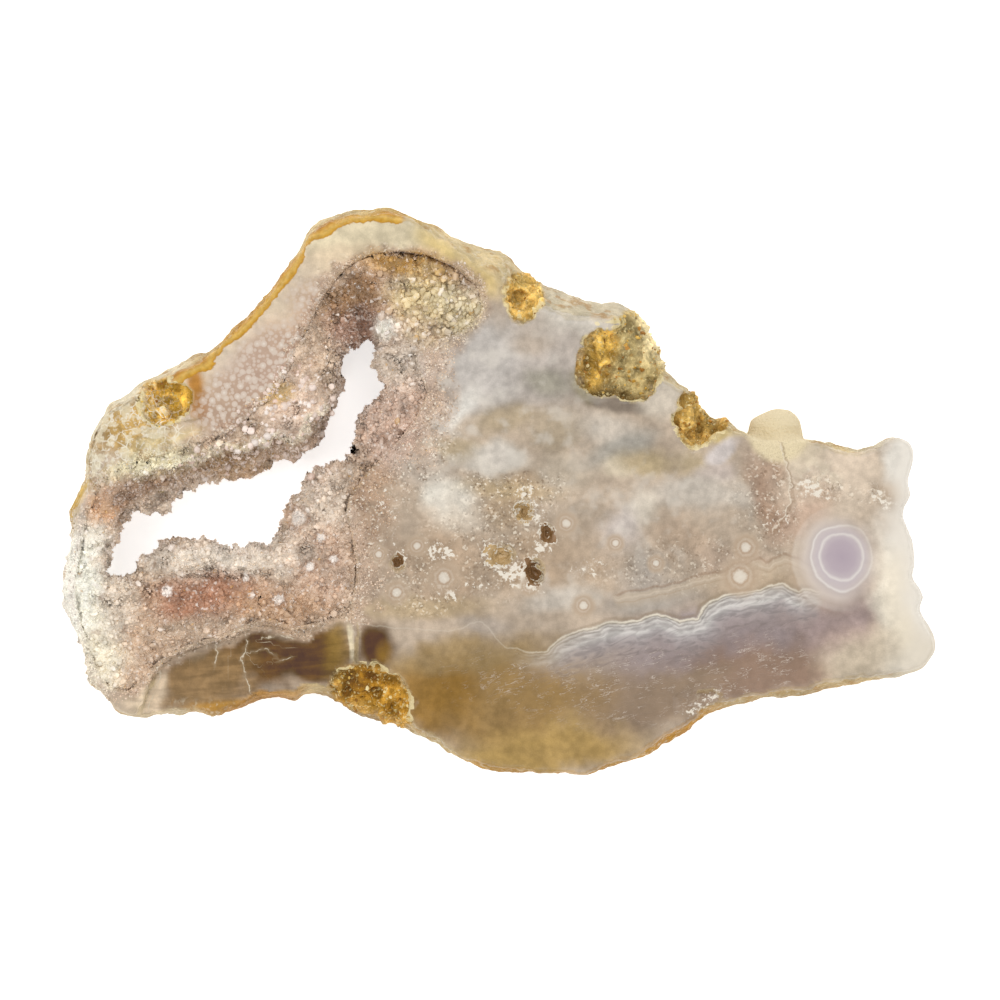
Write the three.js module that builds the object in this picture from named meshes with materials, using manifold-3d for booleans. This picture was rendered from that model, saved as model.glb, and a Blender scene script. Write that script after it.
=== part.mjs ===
// Flower agate slice: a natural slab with a sawn back, a polished front and a crystal-lined hollow
// that has a ragged hole right through it.
// Millimetres, +Z up. The sawn back lies on Z = 0 and the polished face looks up. The origin is below
// the middle of the outline, and +X runs along the length.

import * as THREE from 'three';
import { mergeVertices } from 'three/addons/utils/BufferGeometryUtils.js';
import Module from 'manifold-3d';

const wasm = await Module();
wasm.setup();

// Driving dimensions
const THICKNESS = 14; // sawn back to polished face
const CRUST = 2.2; // thickness of the crystal crust
const GAP = 0.3; // clearance between the crust and the stone behind it
const CRUST_FOOT = 0.6; // height of the crust's lowest edge above the back
const LIP_HEIGHT = 3.6; // height at which the hole's wall starts to fall back below its lip
const LIP_RECESS = [1.2, 2.2]; // how far the wall has fallen back there, and at the back of the slab
const OVERSHOOT = 2; // how far a cutting solid runs past the face that it cuts
const RIND_ROUGHNESS = 0.5; // largest random dent in the rind
const CRYSTALS = 72; // quartz points fused on the crust
const CRYSTAL_RADIUS = [1, 1.8];
const SEED = 20;

// The rim, clockwise from the left end, in stretches. front and back say how far the edges of the
// polished face and of the sawn back lie inside the widest outline, which is where the points are.
const RIM = [
  { name: 'left end', front: 0.6, back: 1.5, points: [
    [-74.5, -16.9], [-74, -13.5], [-73.1, -9.4], [-72.8, -6]] },
  { name: 'yellow tip', front: 2, back: 0.4, points: [
    [-73.1, -4.7], [-74, -3.3], [-72.8, -0.8], [-71.4, 1.6]] },
  { name: 'worn left shoulder', front: 1.3, back: 1, points: [[-71.1, 4.2], [-70.7, 6.9], [-70, 9.9]] },
  { name: 'pale rough rind', front: 2.5, back: 0.6, points: [
    [-68.5, 12.7], [-67, 15.2], [-64.3, 16.6], [-61.2, 19.1], [-58.1, 20.3], [-55.6, 22.2], [-52.7, 23.4]] },
  { name: 'smooth upper left edge', front: 0.7, back: 1.6, points: [
    [-49.6, 24.4], [-47.3, 26.6], [-44.5, 29], [-41.8, 31.7], [-39.4, 34.4], [-37.2, 37.5], [-35.4, 40.4]] },
  { name: 'rough crown', front: 2.6, back: 0.7, points: [
    [-33.8, 43.1], [-32.3, 45.6], [-30.3, 47.3], [-27.5, 48]] },
  { name: 'top edge', front: 1, back: 1.5, points: [
    [-24.8, 48.2], [-21.8, 48.4], [-18.7, 48.4], [-16.3, 47.5], [-13.6, 47]] },
  { name: 'start of the flare', front: 2.2, back: 0.7, points: [[-10.9, 45.8], [-8.5, 44.1], [-5.8, 43.1]] },
  { name: 'flared rind', front: 4.8, back: 0.3, points: [
    [-2.7, 42.2], [0, 41.6], [2.2, 40.2], [4.4, 37.8], [6.6, 35.6], [9.2, 35.6], [11.9, 34.4], [14.6, 33.4],
    [17.5, 32.9], [20.4, 32.6]] },
  { name: 'flared shoulder', front: 3.2, back: 0.5, points: [
    [22.8, 31.5], [24.7, 29.2], [26.4, 26.6], [27.7, 23.9]] },
  { name: 'stepped shoulder', front: 1.5, back: 0.9, points: [
    [28.7, 20.8], [30.9, 19], [33.3, 17.1], [34.7, 14.7], [36.4, 12.5], [38.8, 12.3]] },
  { name: 'upper right edge', front: 0.7, back: 1.4, points: [
    [40.5, 11], [42.2, 10.1], [44.9, 9.3], [48.3, 9.3], [52, 9.4], [55.1, 8.8], [57.8, 7.9], [60.9, 7.6],
    [63.6, 8.1]] },
  { name: 'milky right end', front: 0.7, back: 1.6, points: [
    [65.6, 9.3], [67.5, 9.6], [69.5, 8.9], [70.7, 6.9], [70, 4.2], [69.4, 1.8], [69.9, -0.3], [69, -2.5],
    [68.3, -4], [69.5, -5.9], [70.2, -8.2], [70.7, -11.6], [70, -14.4]] },
  { name: 'right corner', front: 1.2, back: 1.1, points: [
    [71.6, -16.1], [72.2, -17.8], [71.4, -19.6], [72.9, -22.2], [74.3, -24.7], [74.5, -26.8], [73.3, -28.6],
    [72.1, -30.3]] },
  { name: 'lower right edge', front: 0.9, back: 0.9, points: [[69, -31.4], [65.6, -31.9], [62.2, -32.2]] },
  { name: 'long lower right rind', front: 1.8, back: 0.4, points: [
    [59.2, -33.1], [55.8, -33.9], [52, -34.9], [48.3, -35.1], [44.9, -35.4], [41.8, -36.6], [38.4, -37.1],
    [35.4, -37.8], [33.5, -39.7], [30.9, -41.7], [27.9, -43.4], [24.8, -45]] },
  { name: 'lower belly', front: 0.9, back: 1.2, points: [
    [21.4, -46.2], [18, -47.3], [14.3, -48.4], [10.5, -48], [6.8, -48.2], [3.1, -48], [-0.5, -47.9],
    [-3.4, -47], [-6.5, -45.5], [-9.2, -44.3], [-11.7, -42.4], [-14.6, -41.6]] },
  { name: 'bulging lower rind', front: 3.4, back: 0.4, points: [
    [-17.3, -39.9], [-20.7, -39.4], [-24.1, -38.2], [-27, -36.5], [-30.3, -35.1]] },
  { name: 'lower left edge', front: 1.4, back: 0.9, points: [
    [-32.8, -34.4], [-34.5, -35.8], [-37.4, -35.3], [-40.5, -35.3], [-43.2, -36.8], [-46.2, -37.8],
    [-48.8, -38.5]] },
  { name: 'lower left corner', front: 0.9, back: 1.3, points: [
    [-51.7, -37.8], [-54.7, -38], [-57.8, -37.7], [-60.5, -38.5], [-62.9, -38.3], [-65.5, -37.5],
    [-67.3, -35.3], [-69.5, -33.2], [-70.6, -30.9], [-70.2, -28], [-71.7, -25.1], [-73.4, -22],
    [-74.3, -19.6]] },
];

// The hollow, clockwise, as spokes from its outer margin to the lip of the hole: margin x and y, lip x
// and y, then the depth of the crystal floor below the polished face at the margin, at one third, at
// two thirds and at the lip.
const SPOKES = [
  // Dark upper cavity
  [-21.8, 40.2, -23.5, 25.4, 4.5, 3, 5, 7.5], [-17, 40.9, -22.4, 25.6, 4.5, 1.8, 4, 7],
  [-12.2, 40.2, -21.6, 25.8, 4.5, 1.2, 3.5, 6.5], [-7.7, 38.2, -21.1, 25.2, 3, 0.9, 3, 6],
  [-3.7, 34.8, -20.9, 24.6, 1.2, 0.8, 2.5, 5.5], [-3.1, 30.7, -21.4, 23.7, 1, 0.9, 2.2, 5],
  // Pink druse to the right of the hole
  [-6.5, 27.3, -21.8, 22.9, 1.2, 1, 2, 5], [-11.9, 25.6, -21.8, 21.8, 0.8, 1.2, 2.2, 5],
  [-14.6, 23.2, -21.2, 20.7, 0.8, 1.4, 2.5, 5], [-13.6, 20, -20.4, 19.5, 0.8, 1.4, 2.5, 5],
  [-12.2, 16.9, -19.7, 18.3, 0.7, 1.3, 2.4, 4.8], [-13.6, 13.7, -20.4, 16.9, 0.7, 1.3, 2.4, 4.8],
  [-15.3, 11, -21.8, 15.6, 0.7, 1.3, 2.4, 4.8], [-17.3, 8.6, -23.5, 14.5, 0.7, 1.3, 2.4, 4.8],
  [-19.4, 6.5, -24.7, 13, 0.7, 1.4, 2.6, 5], [-21.1, 4.8, -24.8, 11, 0.7, 1.4, 2.6, 5],
  [-22.8, 3.1, -25.3, 8.9, 0.8, 1.5, 2.8, 5.2], [-24.1, 1.1, -26, 6.3, 0.8, 1.6, 3, 5.5],
  [-25.5, -0.8, -28.4, 4.8, 0.8, 1.8, 3.2, 6], [-26, -3.3, -30.9, 4.5, 0.9, 2, 3.6, 6.5],
  [-25.5, -6, -33.2, 3.3, 0.9, 2, 3.8, 7], [-24.8, -8.9, -34.3, 1.1, 0.9, 2, 3.6, 6.5],
  [-24.3, -11.8, -35.9, -1.4, 0.9, 2, 3.4, 6], [-24.3, -14.9, -37.1, -3.5, 0.9, 2, 3.2, 6],
  [-25.2, -17.9, -37.9, -5.7, 0.9, 2, 3.2, 6], [-27.2, -20.3, -38.6, -7.7, 1, 2.2, 3, 6],
  // Crest and valley below the hole
  [-30.9, -22, -39.8, -8.9, 1.2, 2.6, 2.8, 6], [-35, -22.7, -41.8, -8.2, 1.4, 3, 2.4, 5.5],
  [-39.4, -21, -44.2, -8.9, 1.2, 3.2, 2.2, 5.5], [-43.2, -22.4, -46.6, -9.3, 1.6, 3.6, 2, 5],
  [-47.3, -24.1, -49.3, -7.7, 1.8, 4, 1.8, 4.5], [-51.7, -25.4, -51.7, -7.2, 2, 4.2, 1.6, 4.5],
  [-55.8, -27.1, -54.4, -7.6, 2, 3.8, 1.5, 4.5], [-59.2, -29.8, -57, -7.7, 1.6, 3, 1.4, 4.5],
  [-62.6, -33.6, -58.9, -9.7, 1.4, 2.4, 1.4, 4.5], [-66, -33.2, -60.7, -11, 1.4, 2.2, 1.6, 4.5],
  // Pale left margin
  [-68.2, -29.8, -62.2, -12.7, 1.4, 2, 1.8, 4.5], [-69.4, -26.1, -63.9, -14.4, 1.4, 2, 2.2, 5],
  [-70.7, -22.4, -66, -14, 1.2, 1.8, 2.6, 5.5], [-71.7, -18.6, -67, -13.2, 1, 1.6, 2.8, 6],
  [-71.7, -14.5, -65.8, -11.6, 1, 1.6, 2.8, 6], [-71.1, -10.8, -66.1, -9.4, 1, 1.8, 3, 6],
  [-70.4, -7.1, -64.9, -7.2, 1.2, 2.4, 3.8, 6.5], [-69.7, -3.7, -63.8, -5.4, 1.6, 3.2, 5, 7],
  // Brown recess and ledge above the hole's left lobe
  [-68.3, -0.6, -62.2, -3.5, 2.4, 4.2, 5.6, 7.5], [-66.3, 2.5, -59.8, -4, 3, 4.6, 6, 7.5],
  [-62.6, 4.2, -57.1, -3.1, 2.6, 4.6, 6, 7.5], [-58.8, 5.2, -54.7, -1.1, 1.6, 4, 5.6, 7.5],
  [-55.1, 6.2, -52, 0.6, 1, 3.4, 5.4, 7.5], [-51.3, 7.9, -49.3, 2.1, 0.8, 3.6, 5.6, 7.5],
  [-48.3, 8.9, -46.6, 2.3, 0.8, 4.4, 6, 7.5], [-45.2, 10.6, -43.9, 2, 0.7, 2.6, 5.8, 7.5],
  // Bubbly druse at the upper left
  [-42.2, 13, -41.5, 2.8, 0.6, 1.4, 5.4, 7.5], [-39.4, 15.4, -39.4, 4.3, 0.6, 1, 4.6, 7],
  [-37.4, 17.8, -37.6, 5.5, 0.6, 0.9, 2.4, 6], [-35.7, 20.5, -35.5, 5, 0.6, 0.8, 1.9, 5.5],
  [-34.7, 23.2, -33.3, 7.1, 0.6, 0.8, 1.8, 5.5], [-33.5, 25.9, -30.9, 8.9, 0.6, 0.8, 2, 5.5],
  [-32.1, 28.6, -29.8, 12.2, 0.6, 0.8, 1.8, 5], [-30.6, 31.7, -27.9, 14.9, 0.6, 0.8, 1.6, 5],
  [-28.9, 34.4, -26.9, 17.8, 0.6, 0.9, 2, 5.2], [-27.2, 36.8, -27, 20.8, 0.7, 1.2, 2.8, 6],
  [-24.8, 38.8, -26.4, 23.9, 2.5, 3, 5, 7],
];

// Iron-stained pockets and small pits broken into the polished face: centre, half sizes, and how far
// the middle of the pocket lies below the face.
const POCKETS = [
  { name: 'upper left pocket', at: [-56.6, 15.4], half: [4.6, 3.6, 3.4], sink: 0.6 },
  { name: 'top notch', at: [4, 33.2], half: [3.2, 4, 4.5], sink: 0.5 },
  { name: 'large pocket', at: [20.2, 21.8], half: [7, 6.6, 5], sink: 0.8 },
  { name: 'large pocket, upper part', at: [24.5, 27.5], half: [4, 4.2, 4.2], sink: 0.5 },
  { name: 'shoulder pocket', at: [33.6, 12.2], half: [4.6, 5, 4.6], sink: 0.6 },
  { name: 'lower pocket', at: [-22.4, -33], half: [5.8, 4, 3.4], sink: 0.4 },
  { name: 'lower pocket, right part', at: [-17.6, -36.4], half: [3, 3.4, 3], sink: 0.4 },
  { name: 'tan pit', at: [0.2, -10.4], half: [2.1, 1.5, 1.5], sink: 0.3 },
  { name: 'dark pit', at: [5.9, -13.3], half: [1.5, 2.1, 2.4], sink: 0.2 },
  { name: 'upper pit', at: [4.1, -3.4], half: [1.3, 1.8, 1.6], sink: 0.2 },
  { name: 'slit pit', at: [7.8, -7], half: [0.9, 1.5, 1.4], sink: 0.2 },
  { name: 'left pit', at: [-17.4, -11.9], half: [1, 1.4, 1.4], sink: 0.2 },
];

// Lumps that stand in the pockets and on the rind: centre, half sizes
const LUMPS = [
  { name: 'ball behind the front face', at: [47.1, 9.9, 5.4], half: [4.9, 4.7, 4.9] },
  { name: 'clump in the large pocket', at: [17.2, 24.6, 9.6], half: [2.2, 4.2, 2.6] },
  { name: 'floor clump in the large pocket', at: [19.6, 17.6, 9.2], half: [3, 1.8, 2.2] },
  { name: 'clump in the shoulder pocket', at: [31.6, 12.4, 9.8], half: [1.8, 3, 2.4] },
  { name: 'clump in the lower pocket', at: [-23.6, -32.2, 10.2], half: [2.6, 1.9, 2] },
  { name: 'small clump in the lower pocket', at: [-19, -34.6, 10.4], half: [1.8, 1.6, 1.6] },
  { name: 'clump in the upper left pocket', at: [-57.4, 13.4, 10.6], half: [2.4, 1.3, 1.5] },
];

// Broken facets: each is a prism cut down into the polished face, tilted about X and Y by degrees,
// with its floor that far below the face at the pivot.
const FACETS = [
  { name: 'lower left facet', pivot: [-25, -20], depth: 0.7, tilt: [1.2, -3.2],
    edge: [[-25, -17], [-24.2, -28], [-28, -42], [-64, -44], [-61, -36], [-58.6, -30.6], [-55.6, -27.6],
      [-51.7, -26], [-47.3, -24.8], [-43.2, -23.2], [-39.4, -21.8], [-35, -23.4], [-31, -22.6]] },
  { name: 'cream chip', pivot: [-56, 11], depth: 0.5, tilt: [7, 0],
    edge: [[-60, 12], [-50, 12.4], [-47, 9.6], [-51, 6], [-57, 4.4], [-62, 5]] },
  { name: 'chip on the lower right rim', pivot: [34, -36], depth: 0.6, tilt: [-8, 3],
    edge: [[30, -34.6], [37, -33.2], [38.4, -40], [28, -42]] },
];

const STONE = new THREE.MeshStandardMaterial({ color: 0xcdbdb2, roughness: 0.28, metalness: 0 });
const QUARTZ = new THREE.MeshStandardMaterial({ color: 0xd9c3b8, roughness: 0.4, metalness: 0 });

// A repeatable source of random numbers from 0 to 1
function seeded(seed) {
  let state = seed >>> 0;
  return () => {
    state = (state + 0x6d2b79f5) >>> 0;
    let mixed = Math.imul(state ^ (state >>> 15), 1 | state);
    mixed = (mixed + Math.imul(mixed ^ (mixed >>> 7), 61 | mixed)) ^ mixed;
    return ((mixed ^ (mixed >>> 14)) >>> 0) / 4294967296;
  };
}

const random = seeded(SEED);
const between = (low, high) => low + (high - low) * random();

// A closed geometry as a solid that can be joined and cut
function solid(geometry) {
  const bare = geometry.clone();
  bare.deleteAttribute('normal');
  bare.deleteAttribute('uv');
  const merged = mergeVertices(bare, 1e-4);
  return new wasm.Manifold(new wasm.Mesh({
    numProp: 3,
    vertProperties: new Float32Array(merged.attributes.position.array),
    triVerts: new Uint32Array(merged.index.array),
  }));
}

// A solid back as a geometry with flat faces
function geometryOf(shape) {
  const mesh = shape.getMesh();
  const geometry = new THREE.BufferGeometry();
  geometry.setAttribute('position', new THREE.BufferAttribute(new Float32Array(mesh.vertProperties), 3));
  geometry.setIndex(new THREE.BufferAttribute(new Uint32Array(mesh.triVerts), 1));
  geometry.computeVertexNormals();
  return geometry;
}

// A closed skin over clockwise rings of points, from the highest ring to the lowest, with a flat cap
// at each end
function stackedRings(rings) {
  const count = rings[0].length;
  const positions = rings.flat().flatMap((point) => [point.x, point.y, point.z]);
  const index = [];
  for (let level = 0; level + 1 < rings.length; level += 1) {
    for (let i = 0; i < count; i += 1) {
      const next = (i + 1) % count;
      const [a, b] = [level * count + i, level * count + next];
      const [c, d] = [a + count, b + count];
      index.push(a, b, c, b, d, c);
    }
  }
  const cap = (ring) => THREE.ShapeUtils.triangulateShape(ring.map((p) => new THREE.Vector2(p.x, p.y)), []);
  const facesUp = (face, ring) => {
    const [a, b, c] = face.map((i) => new THREE.Vector2(ring[i].x, ring[i].y));
    return b.sub(a).cross(c.sub(a)) > 0;
  };
  const last = (rings.length - 1) * count;
  for (const face of cap(rings[0])) {
    index.push(...(facesUp(face, rings[0]) ? face : face.toReversed()));
  }
  for (const face of cap(rings.at(-1))) {
    const down = facesUp(face, rings.at(-1)) ? face.toReversed() : face;
    index.push(...down.map((i) => last + i));
  }
  const geometry = new THREE.BufferGeometry();
  geometry.setAttribute('position', new THREE.Float32BufferAttribute(positions, 3));
  geometry.setIndex(index);
  return geometry;
}

// Weighted mean over a point's neighbours on a closed list
function eased(values, reach) {
  const count = values.length;
  return values.map((_, i) => {
    let total = 0;
    let weights = 0;
    for (let step = -reach; step <= reach; step += 1) {
      const weight = reach + 1 - Math.abs(step);
      total += weight * values[(i + step + count) % count];
      weights += weight;
    }
    return total / weights;
  });
}

// The whole slab before anything is broken out of it: rounded rind between two flat faces
function slabBody() {
  const outline = RIM.flatMap((stretch) => stretch.points.map(([x, y]) => new THREE.Vector2(x, y)));
  const front = eased(RIM.flatMap((stretch) => stretch.points.map(() => stretch.front)), 2);
  const back = eased(RIM.flatMap((stretch) => stretch.points.map(() => stretch.back)), 2);
  const inward = inwardDirections(outline, 2);
  // Each level gives a height between the back (-1), the widest outline (0) and the front (1), and the
  // share of the inset there
  const levels = [[1, 1], [0.86, 0.62], [0.45, 0.18], [0, 0], [-0.5, 0.22], [-1, 1]];
  const rings = levels.map(([height, share]) => outline.map((point, i) => {
    const widest = THREE.MathUtils.clamp(back[i] / (front[i] + back[i]), 0.15, 0.75) * THICKNESS;
    const flat = Math.abs(height) === 1;
    const inset = share * (height > 0 ? front[i] : back[i]) + (flat ? 0 : between(0, RIND_ROUGHNESS));
    const z = widest + height * (height > 0 ? THICKNESS - widest : widest) + (flat ? 0 : between(-0.3, 0.3));
    return new THREE.Vector3(point.x + inset * inward[i].x, point.y + inset * inward[i].y, z);
  }));
  return solid(stackedRings(rings));
}

// Inward directions, square to a clockwise outline and eased over its corners
function inwardDirections(outline, reach) {
  const count = outline.length;
  const chords = outline.map((_, i) => outline[(i + reach) % count].clone()
    .sub(outline[(i - reach + count) % count]).normalize());
  const x = eased(chords.map((chord) => chord.y), reach);
  const y = eased(chords.map((chord) => -chord.x), reach);
  return outline.map((_, i) => new THREE.Vector2(x[i], y[i]));
}

// The spokes of the hollow, with the random unevenness of the crystal floor settled once for all
const margins = SPOKES.map(([x, y]) => new THREE.Vector2(x, y));
const marginInward = inwardDirections(margins, 1);
const spokes = SPOKES.map(([, , lipX, lipY, ...depths], i) => {
  const margin = margins[i];
  const lip = new THREE.Vector2(lipX, lipY);
  const length = lip.distanceTo(margin);
  const towardsHole = lip.clone().sub(margin).normalize();
  const uneven = [0, between(-0.5, 0.5), between(-0.6, 0.6), 0];
  return { margin, inward: marginInward[i], length, towardsHole, depths, uneven };
});

// The space of the hollow and its hole. sunk is how far its floor lies behind the open surface of the
// crystals, and start is how far its outer wall stands inside the margin.
function hollow(sunk, start) {
  const profile = ({ margin, inward, length, towardsHole, depths, uneven }) => {
    const along = (direction, distance, z) => {
      const place = margin.clone().addScaledVector(direction, distance);
      return new THREE.Vector3(place.x, place.y, z);
    };
    const at = (distance, z) => along(towardsHole, distance, z);
    const floor = (stop) => THICKNESS - depths[stop] - uneven[stop];
    return [
      along(inward, start, THICKNESS + OVERSHOOT),
      along(inward, start, floor(0) - 0.5 * sunk),
      at(length / 3, floor(1) - sunk),
      at(Math.min((2 / 3) * length, length - sunk - 0.6), floor(2) - sunk),
      at(length - sunk, floor(3) - 0.7 * sunk),
      at(length - LIP_RECESS[0] - sunk, LIP_HEIGHT - 0.5 * sunk),
      at(length - LIP_RECESS[1] - sunk, -OVERSHOOT),
    ];
  };
  const columns = spokes.map(profile);
  return solid(stackedRings(columns[0].map((_, level) => columns.map((column) => column[level]))));
}

// A rough ball that bulges and dents by a few smooth waves
function roughBall({ at, half }, detail = 2, roughness = 0.14) {
  const bare = new THREE.IcosahedronGeometry(1, detail).deleteAttribute('normal').deleteAttribute('uv');
  const ball = mergeVertices(bare);
  const position = ball.attributes.position;
  const [alongX, alongY, alongZ] = [between(0, 6), between(0, 6), between(0, 6)];
  for (let i = 0; i < position.count; i += 1) {
    const point = new THREE.Vector3().fromBufferAttribute(position, i);
    const level = Math.sin(4 * point.x + alongX) + Math.sin(5 * point.y + alongY);
    const waves = level + Math.sin(4.5 * point.z + alongZ);
    point.multiplyScalar(1 + roughness * (waves / 2 + between(-0.4, 0.4)));
    position.setXYZ(i, at[0] + half[0] * point.x, at[1] + half[1] * point.y, at[2] + half[2] * point.z);
  }
  return solid(ball);
}

// The space above a broken facet
function aboveFacet({ pivot, depth, tilt, edge }) {
  const outline = new THREE.Shape(edge.map(([x, y]) => new THREE.Vector2(x - pivot[0], y - pivot[1])));
  const space = new THREE.ExtrudeGeometry(outline, { depth: 12, bevelEnabled: false });
  space.rotateX(THREE.MathUtils.degToRad(tilt[0]));
  space.rotateY(THREE.MathUtils.degToRad(tilt[1]));
  space.translate(pivot[0], pivot[1], THICKNESS - depth);
  return solid(space);
}

// A six-sided quartz point with its base at the origin, standing along +Z
function quartzPoint(radius, length) {
  return new THREE.ConeGeometry(radius, length, 6).translate(0, length / 2, 0).rotateX(Math.PI / 2);
}

// All the quartz points, spread along the hollow and over its width, half sunk in the crystal floor
function quartzPoints() {
  const points = [];
  for (let i = 0; i < CRYSTALS; i += 1) {
    const spoke = spokes[Math.floor((i / CRYSTALS) * spokes.length)];
    const radius = between(...CRYSTAL_RADIUS);
    const length = radius * between(1.8, 2.6);
    const clearOfHole = 1 - (1.3 * radius + GAP) / spoke.length;
    const share = Math.min(0.2 + 0.28 * (i % 3) + between(-0.1, 0.1), clearOfHole);
    const below = Math.floor(3 * share);
    const depth = THREE.MathUtils.lerp(spoke.depths[below], spoke.depths[below + 1], 3 * share - below);
    const place = spoke.margin.clone().addScaledVector(spoke.towardsHole, share * spoke.length);
    const leanX = 0.35 * spoke.towardsHole.x + between(-0.4, 0.4);
    const leanY = 0.35 * spoke.towardsHole.y + between(-0.4, 0.4);
    const lean = new THREE.Vector3(leanX, leanY, 1).normalize();
    const turn = new THREE.Quaternion().setFromUnitVectors(new THREE.Vector3(0, 0, 1), lean);
    const point = quartzPoint(radius, length).rotateZ(between(0, Math.PI / 3)).applyQuaternion(turn);
    points.push(solid(point.translate(place.x, place.y, THICKNESS - depth - 0.4 * length)));
  }
  return points;
}

// A plain block between two heights, larger than the slab
function layer(low, high) {
  return solid(new THREE.BoxGeometry(200, 150, high - low).translate(0, 0, (low + high) / 2));
}

function agateSlab() {
  let stone = slabBody().subtract(hollow(CRUST + GAP, 0));
  for (const facet of FACETS) stone = stone.subtract(aboveFacet(facet));
  for (const pocket of POCKETS) {
    stone = stone.subtract(roughBall({ at: [...pocket.at, THICKNESS - pocket.sink], half: pocket.half }));
  }
  for (const lump of LUMPS) stone = stone.add(roughBall(lump, 1, 0.08));
  return stone.intersect(layer(0, THICKNESS));
}

function druzyCrust() {
  const open = hollow(0, -OVERSHOOT);
  const bare = hollow(CRUST, GAP).subtract(open);
  return wasm.Manifold.union([bare, ...quartzPoints()])
    .intersect(hollow(CRUST, GAP))
    .intersect(layer(CRUST_FOOT, THICKNESS - GAP));
}

function named(name, shape, material) {
  const mesh = new THREE.Mesh(geometryOf(shape), material);
  mesh.name = name;
  return mesh;
}

const slice = new THREE.Group();
slice.add(named('agate_slab', agateSlab(), STONE));
slice.add(named('druzy_crust', druzyCrust(), QUARTZ));

export default slice;
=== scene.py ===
"""Flower agate slice: fine stone, crystal-lined hollow and iron-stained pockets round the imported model.

Places and sizes are in millimetres in the frame of the part: the sawn back lies on Z = 0, the polished
face looks up, +X runs along the slice. Meshes are turned into metres where they are made.
"""

import logging
import math
from dataclasses import dataclass
from enum import Enum
from typing import Callable, Sequence

import bmesh
import bpy
import numpy as np
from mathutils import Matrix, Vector
from mathutils.bvhtree import BVHTree
from mathutils.kdtree import KDTree


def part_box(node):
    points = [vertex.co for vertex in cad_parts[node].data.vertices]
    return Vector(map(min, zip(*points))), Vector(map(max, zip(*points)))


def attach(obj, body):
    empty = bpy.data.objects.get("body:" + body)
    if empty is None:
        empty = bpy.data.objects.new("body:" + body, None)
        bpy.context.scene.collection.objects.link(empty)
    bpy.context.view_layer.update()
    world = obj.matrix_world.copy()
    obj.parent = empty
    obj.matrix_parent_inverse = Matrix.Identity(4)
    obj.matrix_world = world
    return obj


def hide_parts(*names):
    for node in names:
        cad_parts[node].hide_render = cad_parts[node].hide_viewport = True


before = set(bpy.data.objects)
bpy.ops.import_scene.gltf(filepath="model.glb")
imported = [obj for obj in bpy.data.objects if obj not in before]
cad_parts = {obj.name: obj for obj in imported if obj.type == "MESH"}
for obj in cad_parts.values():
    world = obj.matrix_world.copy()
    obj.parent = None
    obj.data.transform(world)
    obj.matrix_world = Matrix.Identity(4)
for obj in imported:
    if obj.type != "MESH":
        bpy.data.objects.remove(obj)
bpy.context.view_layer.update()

LOG = logging.getLogger("agate")
MM = 0.001
TO_MM = 1000.0
FACE_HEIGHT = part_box("agate_slab")[1][2] * TO_MM
PHOTO_WIDTH = 170.0
POLISH_VEIL = 0.03
POLISH_GAIN = (0.875, 0.865, 0.84, 1.0)
# Painted light: crystal colours are lifted by these factors to make up for the shade between the crystals.
PAINTED_CREVICE_LIGHT = np.array((1.18, 1.24, 1.2))
BRIGHTEST = 0.92

Array = np.ndarray
Pair = tuple[float, float]
Socket = bpy.types.NodeSocket


class Slot(Enum):
    """The record's material slots."""

    AGATE = "agate"
    DRUZY = "druzy_quartz"


class Node(Enum):
    """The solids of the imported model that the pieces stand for."""

    SLAB = "agate_slab"
    CRUST = "druzy_crust"


def paint(code: str) -> tuple[float, float, float, float]:
    """Turns a colour written as six hex digits into linear light.

    Args:
        code: The colour as #rrggbb.

    Returns:
        Red, green, blue and alpha as Blender's sockets take them.
    """
    values = [int(code[i : i + 2], 16) / 255 for i in (1, 3, 5)]
    linear = [v / 12.92 if v <= 0.04045 else ((v + 0.055) / 1.055) ** 2.4 for v in values]
    return (linear[0], linear[1], linear[2], 1.0)


def smooth(low: float, high: float, value: Array) -> Array:
    """Rises smoothly from 0 at low to 1 at high.

    Args:
        low: The value that gives 0.
        high: The value that gives 1. It may be smaller than low.
        value: The values to map.

    Returns:
        The eased shares.
    """
    share = np.clip((value - low) / (high - low), 0.0, 1.0)
    return share * share * (3.0 - 2.0 * share)


def lattice(points: Array, seed: int) -> Array:
    """Smooth random field with a cell of one unit.

    Args:
        points: Places, one row each.
        seed: Which field of the family.

    Returns:
        One value from -1 to 1 for each row.
    """
    base = np.floor(points).astype(np.int64)
    part = points - base
    eased = part * part * part * (part * (part * 6.0 - 15.0) + 10.0)
    total = np.zeros(len(points))
    for corner in np.ndindex(2, 2, 2):
        cell = base + np.array(corner)
        key = cell[:, 0] * 374761393 + cell[:, 1] * 668265263 + cell[:, 2] * 2147483647 + seed * 1274126177
        key = (key ^ (key >> 13)) * 1103515245 & 0x7FFFFFFF
        key = (key ^ (key >> 15)) * 12345678923 & 0x7FFFFFFF
        weight = np.prod(np.where(np.array(corner) == 1, eased, 1.0 - eased), axis=1)
        total += weight * (key / 0x3FFFFFFF - 1.0)
    return total


def rough(points: Array, size: float, seed: int, octaves: int = 3) -> Array:
    """Adds finer and weaker copies of the random field.

    Args:
        points: Places in millimetres.
        size: Size of the largest lumps in millimetres.
        seed: Which field of the family.
        octaves: How many copies.

    Returns:
        One value for each row, mostly from -1 to 1.
    """
    total = np.zeros(len(points))
    for step in range(octaves):
        total += lattice(points * (2.0**step / size), seed + 17 * step) * 0.55**step
    return total


def ridged(points: Array, size: float, seed: int, octaves: int = 3) -> Array:
    """Random field with sharp crests, from 0 in the hollows to 1 on the crests."""
    total = np.zeros(len(points))
    for step in range(octaves):
        total += (1.0 - np.abs(lattice(points * (2.0**step / size), seed + 17 * step)) * 1.6) * 0.5**step
    return np.clip(total / 1.7, 0.0, 1.0)


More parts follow.
